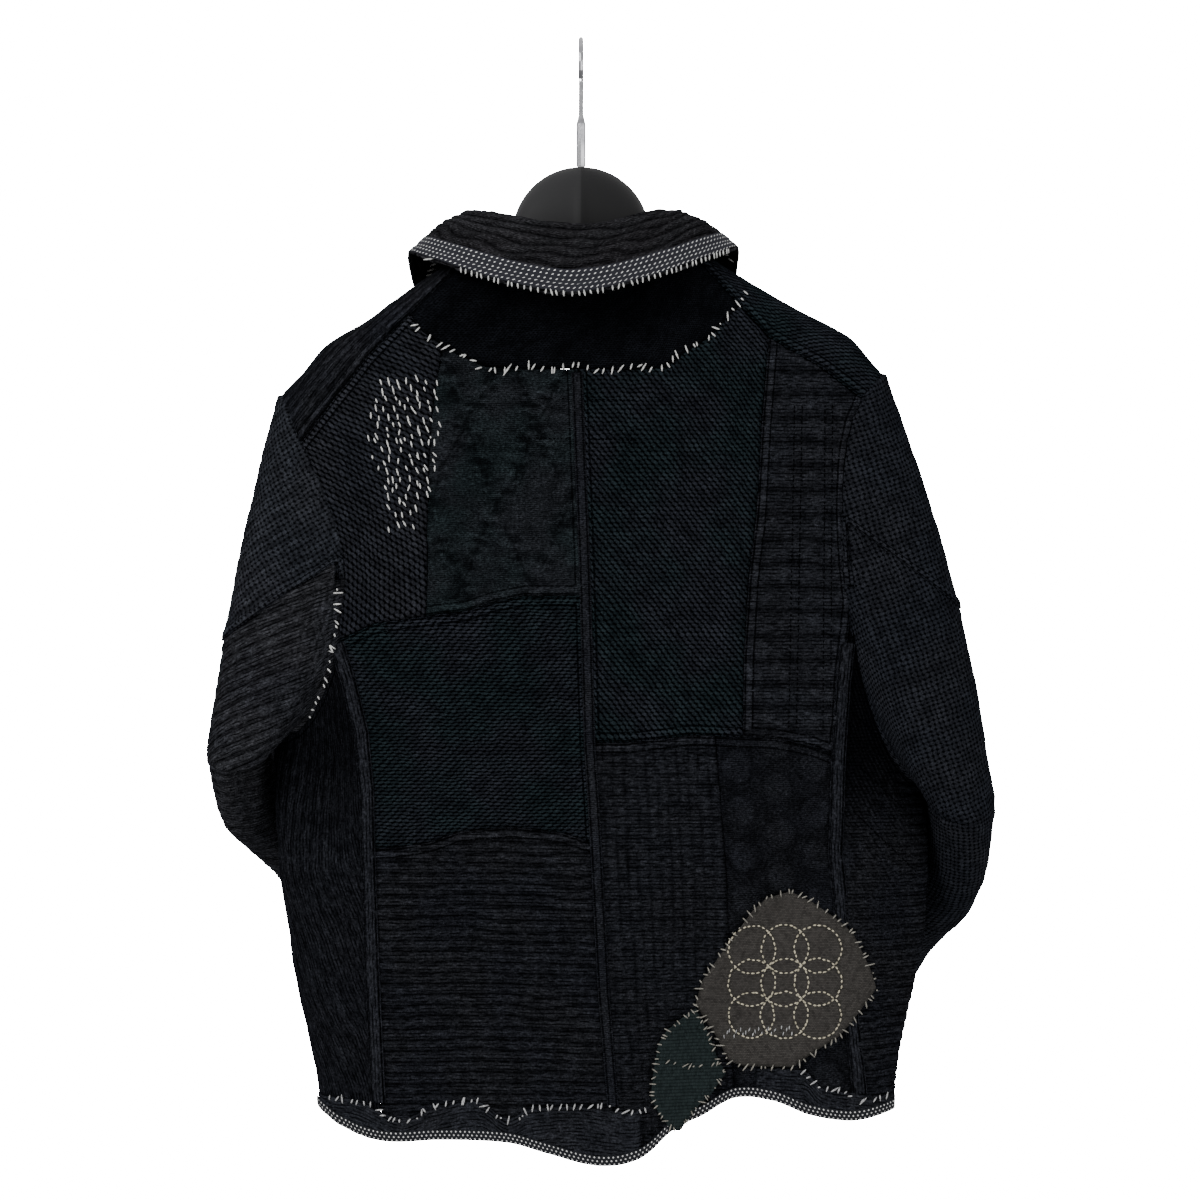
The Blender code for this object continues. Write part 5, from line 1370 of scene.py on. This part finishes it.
def edge_points(turn):
    side = np.sin(np.radians(turn))
    z = -210 + 45 * np.abs(side) ** 1.5 - 4 * np.maximum(0.0, -side) - 66 * smooth((np.abs(turn) - 80) / 55)
    return np.stack((COLLAR_MIDDLE_X + EDGE_HALF_WIDTH * side, collar_depth(turn, -90, 76, 38), z), -1)


def neck_points(turn):
    x = NECK_HALF_WIDTH * np.sin(np.radians(turn))
    return body_point(x, neck_height(turn), np.where(np.abs(turn) <= 90, 1, -1))


def outward(points):
    """The level way out from the collar's middle."""
    return unit((points - (COLLAR_MIDDLE_X, 0, 0)) * (1, 1, 0))


def fall_points(turn, v):
    """Points of the fall: v is 0 at the roll and 1 at the edge."""
    top, edge = roll_points(turn)[None], edge_points(turn)[None]
    v = v[:, None, None]
    crown = 4.9 * np.sin(pi * np.minimum(1.0, v * 1.15))
    return top * (1 - v) + edge * v + (outward(top) * 0.5 + (0, 0, 1)) * crown


def away_from_neck(points):
    return points * (1, 1, 0) - (COLLAR_MIDDLE_X, 0, 0) + (0, 0, 14.0)


print("roll and edge behind the neck:", *(line(np.zeros(1)).round(1) for line in (roll_points, edge_points)))

# %% Stand, fall and tape
FALL_QUILTING = rows_of(8.8, 5.0, 26.0)
turns = np.linspace(-NECK_FRONT_TURN, NECK_FRONT_TURN, 221)
low, high = neck_points(turns) + (0, 0, 0.5), roll_points(turns)
high = high - outward(high) * 3.3 - (0, 0, 2.9)       # under the roll of the fall
v = np.linspace(0, 1, 13)[:, None, None]
points = high[None] * (1 - v) + low[None] * v
cloth_piece("collar_stand", points, away_from_neck(points), collar_shadow_twill, ruffled=0.2, edges=0.0)
points = fall_points(turns, np.linspace(0, 1, 61))
cloth_piece("collar_fall", points, away_from_neck(points), collar_cloth, FALL_QUILTING, 2.2, ruffled=0.6, edges=0.6,
            held="folded")
points = fall_points(turns, np.linspace(0.72, 0.985, 13))
cloth_piece("collar_tape", points, away_from_neck(points), collar_dots, lift=1.25, thick=0.9, ruffled=0.15,
            edges=0.3, held="folded", rests_on=["collar_fall"])

# %% [markdown]
# ## Strips, hem and patches
#
# The centre back seam and the side seams are felled: a narrow folded strip
# covers them. The hem has a facing turned to the outside, whose upper edge is
# cut in waves, and the dotted tape closes its lower edge.


# %% Strips along the seams
STRIP_ROWS, STRIP_COLUMNS, STRIP_LIFT = 220, 7, 1.5
PRESSED = 1.6           # a strip is pressed flat by so much under the grey patch
# the upper edge of the hem's facing, under which the strips end
FACING_TOP = ((-203, -838), (-175, -841), (-142, -853), (-124, -848), (-79, -840), (-58, -853), (-41, -846),
              (-4, -842), (42, -846), (62, -838), (110, -818), (174, -816), (188, -829), (210, -834),
              (236, -838))
facing_top = curve(FACING_TOP)


def strip(name, line, half_width, finish):
    """A narrow folded strip that follows a seam of the back."""
    t = np.linspace(0, 1, STRIP_ROWS + 1)
    spots = points_on(line, t)
    ahead = unit(points_on(line, np.minimum(1, t + 0.03)) - points_on(line, np.maximum(0, t - 0.03)))
    shift = np.linspace(-half_width, half_width, STRIP_COLUMNS)
    x = spots[:, :1] - ahead[:, 1:] * shift
    z = spots[:, 1:] + ahead[:, :1] * shift
    points = body_point(x, z, 1)
    pressed = PRESSED * smooth((x - 150) / 10) * smooth((-z - 664) / 12) * smooth((816 + z) / 12)
    return cloth_piece(name, points, away_from_body(points), finish, lift=STRIP_LIFT - pressed, thick=1.0,
                       ruffled=0.15, edges=0.5, felled="lr", held="laid")


strip("seam_centre_back", between(CENTRE, -268, float(facing_top(25)) + 3), 4.5, quilt_cloth)
strip("seam_side_left", between(SIDE_LEFT, -481, float(facing_top(-158)) + 6), 6.0, upright_cloth)
strip("seam_side_right", between(SIDE_RIGHT, -480, -836), 6.0, upright_cloth)


# %% The hem's facing and tape
HEM_START, HEM_STEP = -368.0, 18.0      # way round the body where the hem's layers start, and one step of it
HEM_LEVEL = -855
HEM_FACING_LIFT, HEM_TAPE_LIFT, HEM_TAPE_HEIGHT, HEM_TAPE_DROP = 2.45, 3.7, 7.0, 1.0


def hem_grid(first, last, top_of, drop, columns, rows):
    """Points between two steps of the way round, from a top line down to a drop below the hem."""
    way = HEM_START + HEM_STEP * np.linspace(first, last, columns + 1)
    middle, half = width_at(HEM_LEVEL)
    x = middle + half * np.sin(way / QUARTER * pi / 2)
    v = np.linspace(0, 1, rows + 1)[:, None]
    top, low = top_of(x), hem_height(x) - drop
    return body_at_girth(np.broadcast_to(way, (rows + 1, columns + 1)), top + (low - top) * v)


for name, first, last in (("hem_facing_left", 0, 22), ("hem_facing_right", 28, 40)):
    points = hem_grid(first, last, facing_top, 0.0, (last - first) * 9, 12)
    cloth_piece(name, points, away_from_body(points), brown_cloth, lift=HEM_FACING_LIFT, thick=1.1, ruffled=0.2,
                edges=0.6, held="laid")
points = hem_grid(0, 40, lambda x: hem_height(x) + HEM_TAPE_HEIGHT, HEM_TAPE_DROP, 360, 6)
cloth_piece("hem_tape", points, away_from_body(points), hem_dots, lift=HEM_TAPE_LIFT, thick=0.9, ruffled=0.15,
            edges=0.2, held="laid")

# %% [markdown]
# ## Patches
#
# A patch is a ring of places round a middle, drawn in towards it, so its grid
# wraps like a sleeve's. It is moved out along the body's own normals, since its
# own aren't known at the middle, where all its columns meet. Its threads run
# straight: the UV map is simply x and height.


# %% Patches
GREY_PATCH = ((164, -675), (145, -680), (134, -690), (108, -726), (95, -745), (90, -763), (98, -777), (107, -791),
              (116, -809), (130, -813), (167, -813), (187, -799), (202, -790), (214, -777), (232, -752), (227, -736),
              (214, -708), (200, -696), (181, -683))
GREEN_PATCH = ((90, -766), (81, -771), (67, -782), (60, -794), (56, -816), (54, -835), (61, -849), (70, -861),
               (77, -862), (91, -844), (102, -833), (113, -818), (105, -803), (101, -790), (95, -777))


def body_normal(x, z, side=1, step=1):
    """The body's normal, behind (1) or in front (-1), over a stretch of two steps."""
    across = body_point(x + step, z, side) - body_point(x - step, z, side)
    down = body_point(x, z - step, side) - body_point(x, z + step, side)
    normal = unit(np.cross(across, down))
    return normal * np.where(normal[..., 1:2] * side < 0, 1.0, -1.0)


def patch(name, centre, outline, finish, lift, spokes=150, rings=30):
    rim = points_on(list(outline) + [outline[0]], np.linspace(0, 1, spokes + 1))
    share = np.linspace(1, 0, rings + 1)[:, None]
    x, z = (middle + (edge - middle) * share for middle, edge in zip(centre, rim.T))
    normal = body_normal(x, z)
    return cloth_piece(name, body_point(x, z, 1), normal, finish, lift=lift, thick=1.1, normal=normal, ruffled=0.25,
                       straight=(x, z), wraps=True, edges=0.7, held="laid")


patch("patch_grey", (160, -744), GREY_PATCH, grey_cloth, 2.9)
patch("patch_green", (84, -812), GREEN_PATCH, green_cloth, 5.05)

# %% [markdown]
# ## Hand stitches
#
# Every thread that shows is a small long grain, a six-sided ball stretched
# along the stitch, sunk a little in the cloth. Each group is one mesh. A curve
# with a bevel could draw them too, but there are over a thousand, so each may
# only have a few dozen faces.
#
# Hands aren't machines: the place, the angle and the length of each stitch are
# a little off, by seeded chance.


# %% One thread that shows
chance = np.random.default_rng(77)
METRES = Matrix.Diagonal((MM, MM, MM, 1))
THREAD_FACES = 24
SHORTEST, STEEPEST = 1.5, 34.0          # no stitch is shorter, or turned further from its fellows


def sewn(name, rows, finish, width=1.5):
    """Rows of centre, direction, outward normal and length, in millimetres."""
    bm = bmesh.new()
    for centre, along, normal, length in rows:
        along, normal = Vector(along), Vector(normal)
        along = (along - normal * along.dot(normal)).normalized()
        turn = Matrix((along, normal.cross(along), normal)).transposed().to_4x4()
        size = Matrix.Diagonal((length / 2, width / 2, width * 0.36, 1))
        bmesh.ops.create_uvsphere(bm, u_segments=6, v_segments=4, radius=1.0,
                                  matrix=METRES @ Matrix.Translation(Vector(centre)) @ turn @ size)
    print(name, len(bm.faces) // THREAD_FACES, "stitches")
    return keep(name, bm, finish)


def stitches(name, places, finish, width=1.5):
    """Places are rows of x, z, angle in degrees, length and lift, on the back of the body."""
    x, z, angle, length, lift = np.array(places, float).T
    normal = body_normal(x, z)
    centre = body_point(x, z, 1) + normal * lift[:, None]
    along = np.stack((np.cos(np.radians(angle)), 0 * x, np.sin(np.radians(angle))), -1)
    return sewn(name, zip(centre, along, normal, length), finish, width)


def beside(line, pitch, length, lean, lift, shift=0.0, wild=0.25, closed=False):
    """Stitches at every pitch along a line, shifted aside. lean is their angle to it, 90 for whip stitches."""
    line = np.array(list(line) + ([line[0]] if closed else []), float)
    total = np.hypot(*np.diff(line, axis=0).T).sum()
    t = np.arange(pitch / 2, total, pitch) / total
    t = np.clip(t + chance.normal(0, wild * 0.35, len(t)) * pitch / total, 0, 1)
    here = points_on(line, t)
    ahead = unit(points_on(line, np.minimum(1, t + 0.01)) - points_on(line, np.maximum(0, t - 0.01)))
    angle = np.degrees(np.arctan2(ahead[:, 1], ahead[:, 0]))
    x, z = here[:, 0] - ahead[:, 1] * shift, here[:, 1] + ahead[:, 0] * shift
    sizes = length * (1 + chance.normal(0, wild * 0.5, len(t)))
    turns = angle + lean + np.clip(chance.normal(0, wild * 30, len(t)), -STEEPEST, STEEPEST)
    return [(a, b, c, max(SHORTEST, d), lift) for a, b, c, d in zip(x, z, turns, sizes)]


print("threads are", THREAD_FACES, "faces each")

# %% Whip stitches round the patches, along the hem, the yoke and the armhole
HEM_LEFT_LINE = ((-199.6, -839.2), (-186.3, -840), (-174.5, -842.3), (-165.1, -842.3), (-158.1, -845.5),
                 (-153.4, -852.5), (-141.6, -854.9), (-129.8, -854.9), (-123.6, -847), (-110.2, -842.3),
                 (-93.8, -840), (-78.9, -839.2), (-74.2, -845.5), (-65.6, -851.7), (-54.6, -854.9), (-46, -852.5),
                 (-41.2, -844.7), (-20.9, -843.1), (-4.4, -842.3), (21.5, -840.8), (28.5, -844.7), (41.9, -847),
                 (54.4, -843.9))
HEM_RIGHT_LINE = ((173.6, -815.7), (181.4, -824.3), (188.5, -830.6), (194.7, -830.6), (206.5, -832.1),
                  (214.3, -839.2), (224.5, -841.5), (236.3, -839.2), (242.6, -837.6))
YOKE_LINE = ((-129.8, -226.9), (-130.6, -232.4), (-124.4, -236.3), (-114.9, -244.1), (-101.6, -250.4),
             (-94.6, -253.5), (-84.4, -258.2), (-81.2, -264.5), (-64, -266.9), (-47.5, -264.5), (-40.5, -262.2),
             (-35, -264.5), (-19.3, -266.9), (-11.5, -262.2), (1.1, -262.2), (11.3, -266.9), (22.3, -266.9),
             (45, -262.2), (56, -266.1), (67.7, -263.7), (74, -255.1), (77.1, -252.8), (103.8, -239.4),
             (106.1, -232.4), (113.2, -226.9), (119.5, -218.3), (127.3, -209.6), (132.8, -198.7))
ARMHOLE_LINE = ((-190.2, -433.9), (-191, -445.6), (-190.2, -454.2), (-191, -463.6), (-191.8, -470.7),
                (-194.9, -482.5), (-196.5, -501.3), (-202, -517.7), (-209, -529.5), (-212.9, -541.3))

stitches("stitches_yoke", beside(YOKE_LINE, 6.4, 6.0, 74, 0.9, wild=0.7), white_thread, 1.5)
stitches("stitches_hem_left", beside(HEM_LEFT_LINE, 5.6, 5.8, 68, 3.2, wild=0.7), grey_thread, 1.5)
stitches("stitches_hem_right", beside(HEM_RIGHT_LINE, 5.6, 5.8, 68, 3.2, wild=0.7), grey_thread, 1.5)
stitches("stitches_grey_patch", beside(GREY_PATCH, 5.8, 5.2, 78, 3.3, shift=-0.6, wild=0.7, closed=True),
         patch_thread, 1.3)
stitches("stitches_green_patch", beside(GREEN_PATCH, 5.0, 4.8, 90, 5.1, shift=0.6, wild=0.7, closed=True)
         + beside(((63, -806), (86, -812), (108, -810)), 6.0, 5.6, 60, 5.3, wild=0.8), patch_thread, 1.2)
stitches("stitches_armhole", beside(ARMHOLE_LINE, 6.2, 5.6, 62, 3.6, wild=0.8), white_thread, 1.5)

# %% [markdown]
# ## Darning
#
# Upright grains in staggered rows fill a worn place on the left shoulder blade.
# The place narrows downwards, so each row is cut off at two slanting lines.

# %% Darning
DARN_TOP, DARN_LOW, DARN_ROW, DARN_PITCH = -275, -390, 7.0, 6.6
darning = []
for row, z in enumerate(np.arange(DARN_TOP, DARN_LOW - 1, -DARN_ROW)):
    down = (z - DARN_TOP) / (DARN_LOW - DARN_TOP)
    left = np.interp(down, (0, 0.39, 1), (-158.4, -164.0, -145.6))
    right = np.interp(down, (0, 0.54, 1), (-115.2, -112.0, -131.2))
    for x in np.arange(left + DARN_PITCH / 2 * (row % 2) + chance.normal(0, 1.5), right + 1, DARN_PITCH):
        darning.append((x + chance.normal(0, 1.5), z + chance.normal(0, 1.9), 106 + chance.normal(0, 11),
                        5.4 + chance.normal(0, 1.1), 0.9))
stitches("stitches_darning", darning, white_thread, 1.45)

# %% [markdown]
# ## A pattern of interlaced circles on the grey patch
#
# Circles that overlap by a quarter are one of the oldest patterns of running
# stitch. Nine of them, each drawn with its own ring of cream stitches, fill the
# patch. A small grey mend of three short rows crosses their lower edge.

# %% Interlaced circles
CIRCLE_RADIUS, CIRCLE_PITCH, CIRCLES_X, CIRCLES_Z, A_CIRCLE = 18.4, 26, 160, -746, 29
ring_stitches = []
for column in (-1, 0, 1):
    for row in (-1, 0, 1):
        for turn in np.arange(0, 360, 360 / A_CIRCLE):
            a = radians(turn + chance.normal(0, 1.0))
            far = CIRCLE_RADIUS + chance.normal(0, 0.25)
            ring_stitches.append((CIRCLES_X + CIRCLE_PITCH * column + far * cos(a),
                                  CIRCLES_Z + CIRCLE_PITCH * row + far * sin(a), turn + 90,
                                  3.1 + chance.normal(0, 0.25), 3.3))
stitches("stitches_circles", ring_stitches, cream_thread, 1.5)
mend = [(x + chance.normal(0, 0.6), -788 + 2.2 * (i % 3) + 0.06 * (x - 130) + chance.normal(0, 0.5),
         84 + chance.normal(0, 8), 3.6, 3.2) for i, x in enumerate(np.arange(112, 168, 2.6))]
stitches("stitches_mend", mend, grey_thread, 1.0)

# %% Running stitches in dark thread
# the ends of each row, then its pitch, length of a stitch and lift
DARK_ROWS = [((-53.8, -288), (43.4, -289.6), 3.2, 2.3, 0.35), ((-51.4, -319.4), (43.4, -321), 3.2, 2.3, 0.35)]
DARK_ROWS += [((x0, -292), (x1, -550), 4.2, 3.0, 0.2) for x0, x1 in ((192, 190), (198, 196), (168, 163), (174, 169))]
DARK_ROWS += [((214, z + 50), (266, z), 3.8, 2.8, 0.2) for z in (-585, -622, -662)]
dark = []
for start, end, pitch, length, lift in DARK_ROWS:
    dark += beside((start, end), pitch, length, 0, lift)
stitches("stitches_dark", dark, dark_thread, 1.0)

# %% [markdown]
# ## Whip stitches on the collar
#
# They wrap the collar's lower edge, from the underside round into the tape. A
# few more show on the underside of its two ends. Where that is depends on the
# finished cloth, so a ray is sent from the camera's place to find it.

# %% Whip stitches along the collar's edge
EYE = Vector((0.0152, -2.5, -0.4464))
whip = []
for turn in np.arange(-40, 67, 2.2) + chance.normal(0, 0.3, 49):
    turn = np.array((turn,))
    near, above = edge_points(turn)[0], fall_points(turn, np.array((0.9,)))[0, 0]
    lean = np.array((chance.normal(0.10, 0.14), 0, 0)) * np.linalg.norm(near - above)
    whip.append((near + outward(near) * 1.7 - (0, 0, 0.4), near - above + lean, outward(near),
                 5.0 + chance.normal(0, 0.5)))
coat = bpy.context.evaluated_depsgraph_get()
for x, z, length in ((-121, -174, 12), (-119, -178, 14), (-120, -182, 12), (-121, -186, 9), (117, -170, 8),
                     (120, -174, 7)):
    hit, place, facing, _, thing, _ = bpy.context.scene.ray_cast(coat, EYE, Vector((x * MM, 0, z * MM)) - EYE)
    if hit:
        print("stitch on", thing.name)
        whip.append((place * 1000 + facing * 0.5, Vector((1.0, 0, -0.12)), facing, length))
sewn("stitches_collar", whip, white_thread, 1.6)

# %% [markdown]
# ## The hanger
#
# A wide display hanger of black moulded plastic: a round head and two arms that
# follow the shoulders. Its sections are ellipses along x; the head has a faint
# keel down its middle, where the two halves of the mould met.


# %% Outline of the hanger
HEAD_TOP_Z, HEAD_RADIUS, HEAD_HALF_DEPTH, ARM_END_X, ARM_HALF_HEIGHT = -100.0, 55.0, 27.0, 226.0, 17.0
HANGER_GAP, KEEL_HEIGHT, KEEL_WIDTH, TIP = 0.9, 1.6, 3.0, 8.0


def under_ridge(x):
    """The coat's own inner surface along the shoulders."""
    slope = (ridge(x + 2) - ridge(x - 2)) / 4
    return ridge(x) - (CLOTH + HANGER_GAP) * np.hypot(1.0, slope)


def hanger_top(x):
    """The upper outline: a half circle, two hollow necks, and the arms under the shoulders."""
    size, start_x = np.abs(x), NECK_HALF_WIDTH + 6
    head = HEAD_TOP_Z - HEAD_RADIUS + np.sqrt(np.maximum(0, HEAD_RADIUS ** 2 - size ** 2))
    low, start = HEAD_TOP_Z - HEAD_RADIUS - 4, under_ridge(np.copysign(start_x, x))
    neck = low + (start - low) * smooth((size - HEAD_RADIUS) / (start_x - HEAD_RADIUS))
    return np.where(size <= HEAD_RADIUS, head, np.where(size < start_x, neck, under_ridge(x)))


print("top of the hanger's arms at their ends:", hanger_top(np.array((-ARM_END_X, ARM_END_X))).round(1))

# %% Hanger
tip = TIP * smooth(np.linspace(0, 0.5, 9))[:-1]
x = np.sort(np.concatenate((tip - ARM_END_X, np.linspace(-222, -56, 60),
                            HEAD_RADIUS * np.sin(np.linspace(-pi / 2, pi / 2, 49)), np.linspace(56, 222, 60),
                            (ARM_END_X - tip)[::-1])))
size, top = np.abs(x), hanger_top(x)
in_head = smooth((HEAD_RADIUS + 30 - size) / 40)
half_height = ARM_HALF_HEIGHT + (HEAD_RADIUS * 0.45 - ARM_HALF_HEIGHT) * in_head
half_height = half_height + np.sqrt(np.maximum(0, HEAD_RADIUS ** 2 - size ** 2)) * 0.42
end = np.sqrt(np.maximum(0.0, 1 - (size / ARM_END_X) ** 16))
middle, half = width_at(top)
across = (1 - np.minimum(1.0, np.abs(x - middle) / half) ** SQUARENESS) ** (1 / SQUARENESS)
arm_depth = np.minimum(18.0, 0.62 * 48 * across)
half_depth = (arm_depth + (HEAD_HALF_DEPTH - arm_depth) * in_head) * end
a = np.linspace(0, 2 * pi, 73)[:, None]
keel = KEEL_HEIGHT * np.exp(-(x / KEEL_WIDTH) ** 2) * in_head
points = np.stack((np.broadcast_to(x, (73, len(x))), np.sin(a) * (half_depth + keel * np.abs(np.sin(a)) ** 2),
                   top - half_height + half_height * np.cos(a) * end), -1).transpose(1, 0, 2)
bm = grid_mesh(points, *lengths_of(points), {}, wraps=True)
bmesh.ops.dissolve_degenerate(bm, dist=1e-6, edges=bm.edges)
bmesh.ops.recalc_face_normals(bm, faces=bm.faces)
hanger = keep("hanger", bm, plastic.material)
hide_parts("hanger_body")
print("hanger:", len(hanger.data.polygons), "faces")

# %% [markdown]
# ## Buttons
#
# Six horn buttons on the front. A profile is spun round the button's axis: a
# raised rim, a dished middle and a rounded back. Two crossed threads hold each.

# %% Buttons on the front
PROFILE = ((0.0, 0.9), (6.0, 0.9), (8.6, 1.2), (10.6, 2.1), (12.0, 2.3), (13.2, 1.9), (14.0, 0.9), (13.9, -0.3),
           (12.8, -1.5), (9.0, -1.9), (0.0, -1.9))
ON_CLOTH = 0.85 + 1.8       # gap over the upper front, and half the button's thickness
HOLES = (-2, -2), (2, 2), (-2, 2), (2, -2)
for column, x in (("left", -45.0), ("right", 45.0)):
    for row, z in enumerate((-430.0, -530.0, -630.0)):
        normal = body_normal(x, z, side=-1, step=6)
        seat = Vector(body_point(x, z, -1) + normal * (front_lift(-1)(np.array(x)) + ON_CLOTH))
        turn = Vector((0, 0, 1)).rotation_difference(Vector(normal)).to_matrix().to_4x4()
        placed = METRES @ Matrix.Translation(seat) @ turn
        bm = bmesh.new()
        ring = [bm.verts.new((r, 0, h)) for r, h in PROFILE]
        edges = [bm.edges.new(pair) for pair in zip(ring, ring[1:])]
        bmesh.ops.spin(bm, geom=ring + edges, axis=(0, 0, 1), cent=(0, 0, 0), steps=40, angle=2 * pi, use_merge=True)
        bmesh.ops.remove_doubles(bm, verts=bm.verts, dist=0.001)
        bmesh.ops.recalc_face_normals(bm, faces=bm.faces)
        for dx, dy in HOLES:
            bmesh.ops.create_cone(bm, cap_ends=True, segments=12, radius1=0.9, radius2=0.7, depth=0.5,
                                  matrix=Matrix.Translation((dx, dy, 1.0)))
        bmesh.ops.transform(bm, matrix=placed, verts=bm.verts)
        button = keep("button_%s_%d_horn" % (column, row + 1), bm, horn.material)
        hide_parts("button_%s_%d" % (column, row + 1))
        bm = bmesh.new()
        for lean in (45, -45):
            stretched = Matrix.Translation((0, 0, 1.3)) @ Matrix.Diagonal((3.3, 0.75, 0.5, 1))
            bmesh.ops.create_uvsphere(bm, u_segments=12, v_segments=8, radius=1.0,
                                      matrix=Matrix.Rotation(radians(lean), 4, "Z") @ stretched)
        bmesh.ops.transform(bm, matrix=placed, verts=bm.verts)
        keep("button_thread_%s_%d" % (column, row + 1), bm, dark_thread)

# %% [markdown]
# ## The hook
#
# The solid of the hook is a bent wire with a ferrule, round enough as it is, so
# it keeps its shape and gets the chrome.

# %% The hook keeps its solid
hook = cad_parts["hanger_hook"]
hook.data.materials.clear()
hook.data.materials.append(chrome.material)
print("hook:", len(hook.data.polygons), "faces of its own")

# %% [markdown]
# ## Camera and floor
#
# The camera stands level, 2.5 m behind the coat, with a long lens, as for a
# cut-out picture of clothes: near lines stay upright. The floor lies below the
# picture. It sends some light up, and other views show it.

# %% Camera
camera = bpy.data.objects.new("camera", bpy.data.cameras.new("camera"))
bpy.context.collection.objects.link(camera)
camera.location = EYE
camera.rotation_euler = (radians(90), 0, 0)
camera.data.lens = 93.75
bpy.context.scene.camera = camera
print("camera at", tuple(round(value, 3) for value in camera.location))

# %% Floor
FLOOR_Z, FLOOR_RADIUS = -1.25, 1.25
bm = bmesh.new()
bmesh.ops.create_circle(bm, cap_ends=True, segments=96, radius=FLOOR_RADIUS,
                        matrix=Matrix.Translation((0, 0, FLOOR_Z)))
mesh = bpy.data.meshes.new("floor")
bm.to_mesh(mesh)
bm.free()
floor = bpy.data.objects.new("floor", mesh)
bpy.context.collection.objects.link(floor)
pale = Finish("floor_pale", {"Roughness": 0.7})
pale.set({"Base Color": pale.blend(pale.noise(pale.place(), 300, 3.0), (0.82, 0.82, 0.81), (0.86, 0.86, 0.86))})
mesh.materials.append(pale.material)
print("floor", FLOOR_RADIUS * 2, "m wide")

# %% [markdown]
# ## Light
#
# The photograph's ground is pure white. So the camera sees a bright white world,
# while the coat is lit by a softer one, that is brighter above than below. A
# Light Path node tells them apart. Two round lamps add the faint side light that
# brings the weaves out.

# %% Light
GROUND_STRENGTH = 40.0
SKY = {"From Min": -0.7, "From Max": 0.9, "To Min": 0.35, "To Max": 1.9}       # from height in the sky to strength
WHITE = (1, 1, 1, 1)
world = bpy.data.worlds.new("studio")
bpy.context.scene.world = world
world.use_nodes = True
tree = world.node_tree
seen, soft = tree.nodes["Background"], tree.nodes.new("ShaderNodeBackground")
path, mix = tree.nodes.new("ShaderNodeLightPath"), tree.nodes.new("ShaderNodeMixShader")
way, up = tree.nodes.new("ShaderNodeTexCoord"), tree.nodes.new("ShaderNodeSeparateXYZ")
shade = tree.nodes.new("ShaderNodeMapRange")
for pin, value in SKY.items():
    shade.inputs[pin].default_value = value
seen.inputs["Strength"].default_value = GROUND_STRENGTH
seen.inputs["Color"].default_value = soft.inputs["Color"].default_value = WHITE
for start, end in ((way.outputs["Generated"], up.inputs[0]), (up.outputs[2], shade.inputs["Value"]),
                   (shade.outputs[0], soft.inputs["Strength"]), (path.outputs["Is Camera Ray"], mix.inputs[0]),
                   (soft.outputs[0], mix.inputs[1]), (seen.outputs[0], mix.inputs[2]),
                   (mix.outputs[0], tree.nodes["World Output"].inputs["Surface"])):
    tree.links.new(start, end)


def lamp(name, place, target, size, power):
    light = bpy.data.lights.new(name, "AREA")
    light.shape, light.size, light.energy = "DISK", size, power
    item = bpy.data.objects.new(name, light)
    bpy.context.collection.objects.link(item)
    item.location = place
    item.rotation_euler = (Vector(target) - Vector(place)).to_track_quat("-Z", "Y").to_euler()


lamp("key", (-1.6, -1.8, 0.9), (0, 0, -0.5), 1.0, 60)
lamp("fill", (2.2, -1.6, -0.1), (0, 0, -0.5), 1.4, 20)
print("lamps:", len(bpy.data.lights))

# %% [markdown]
# ## The end
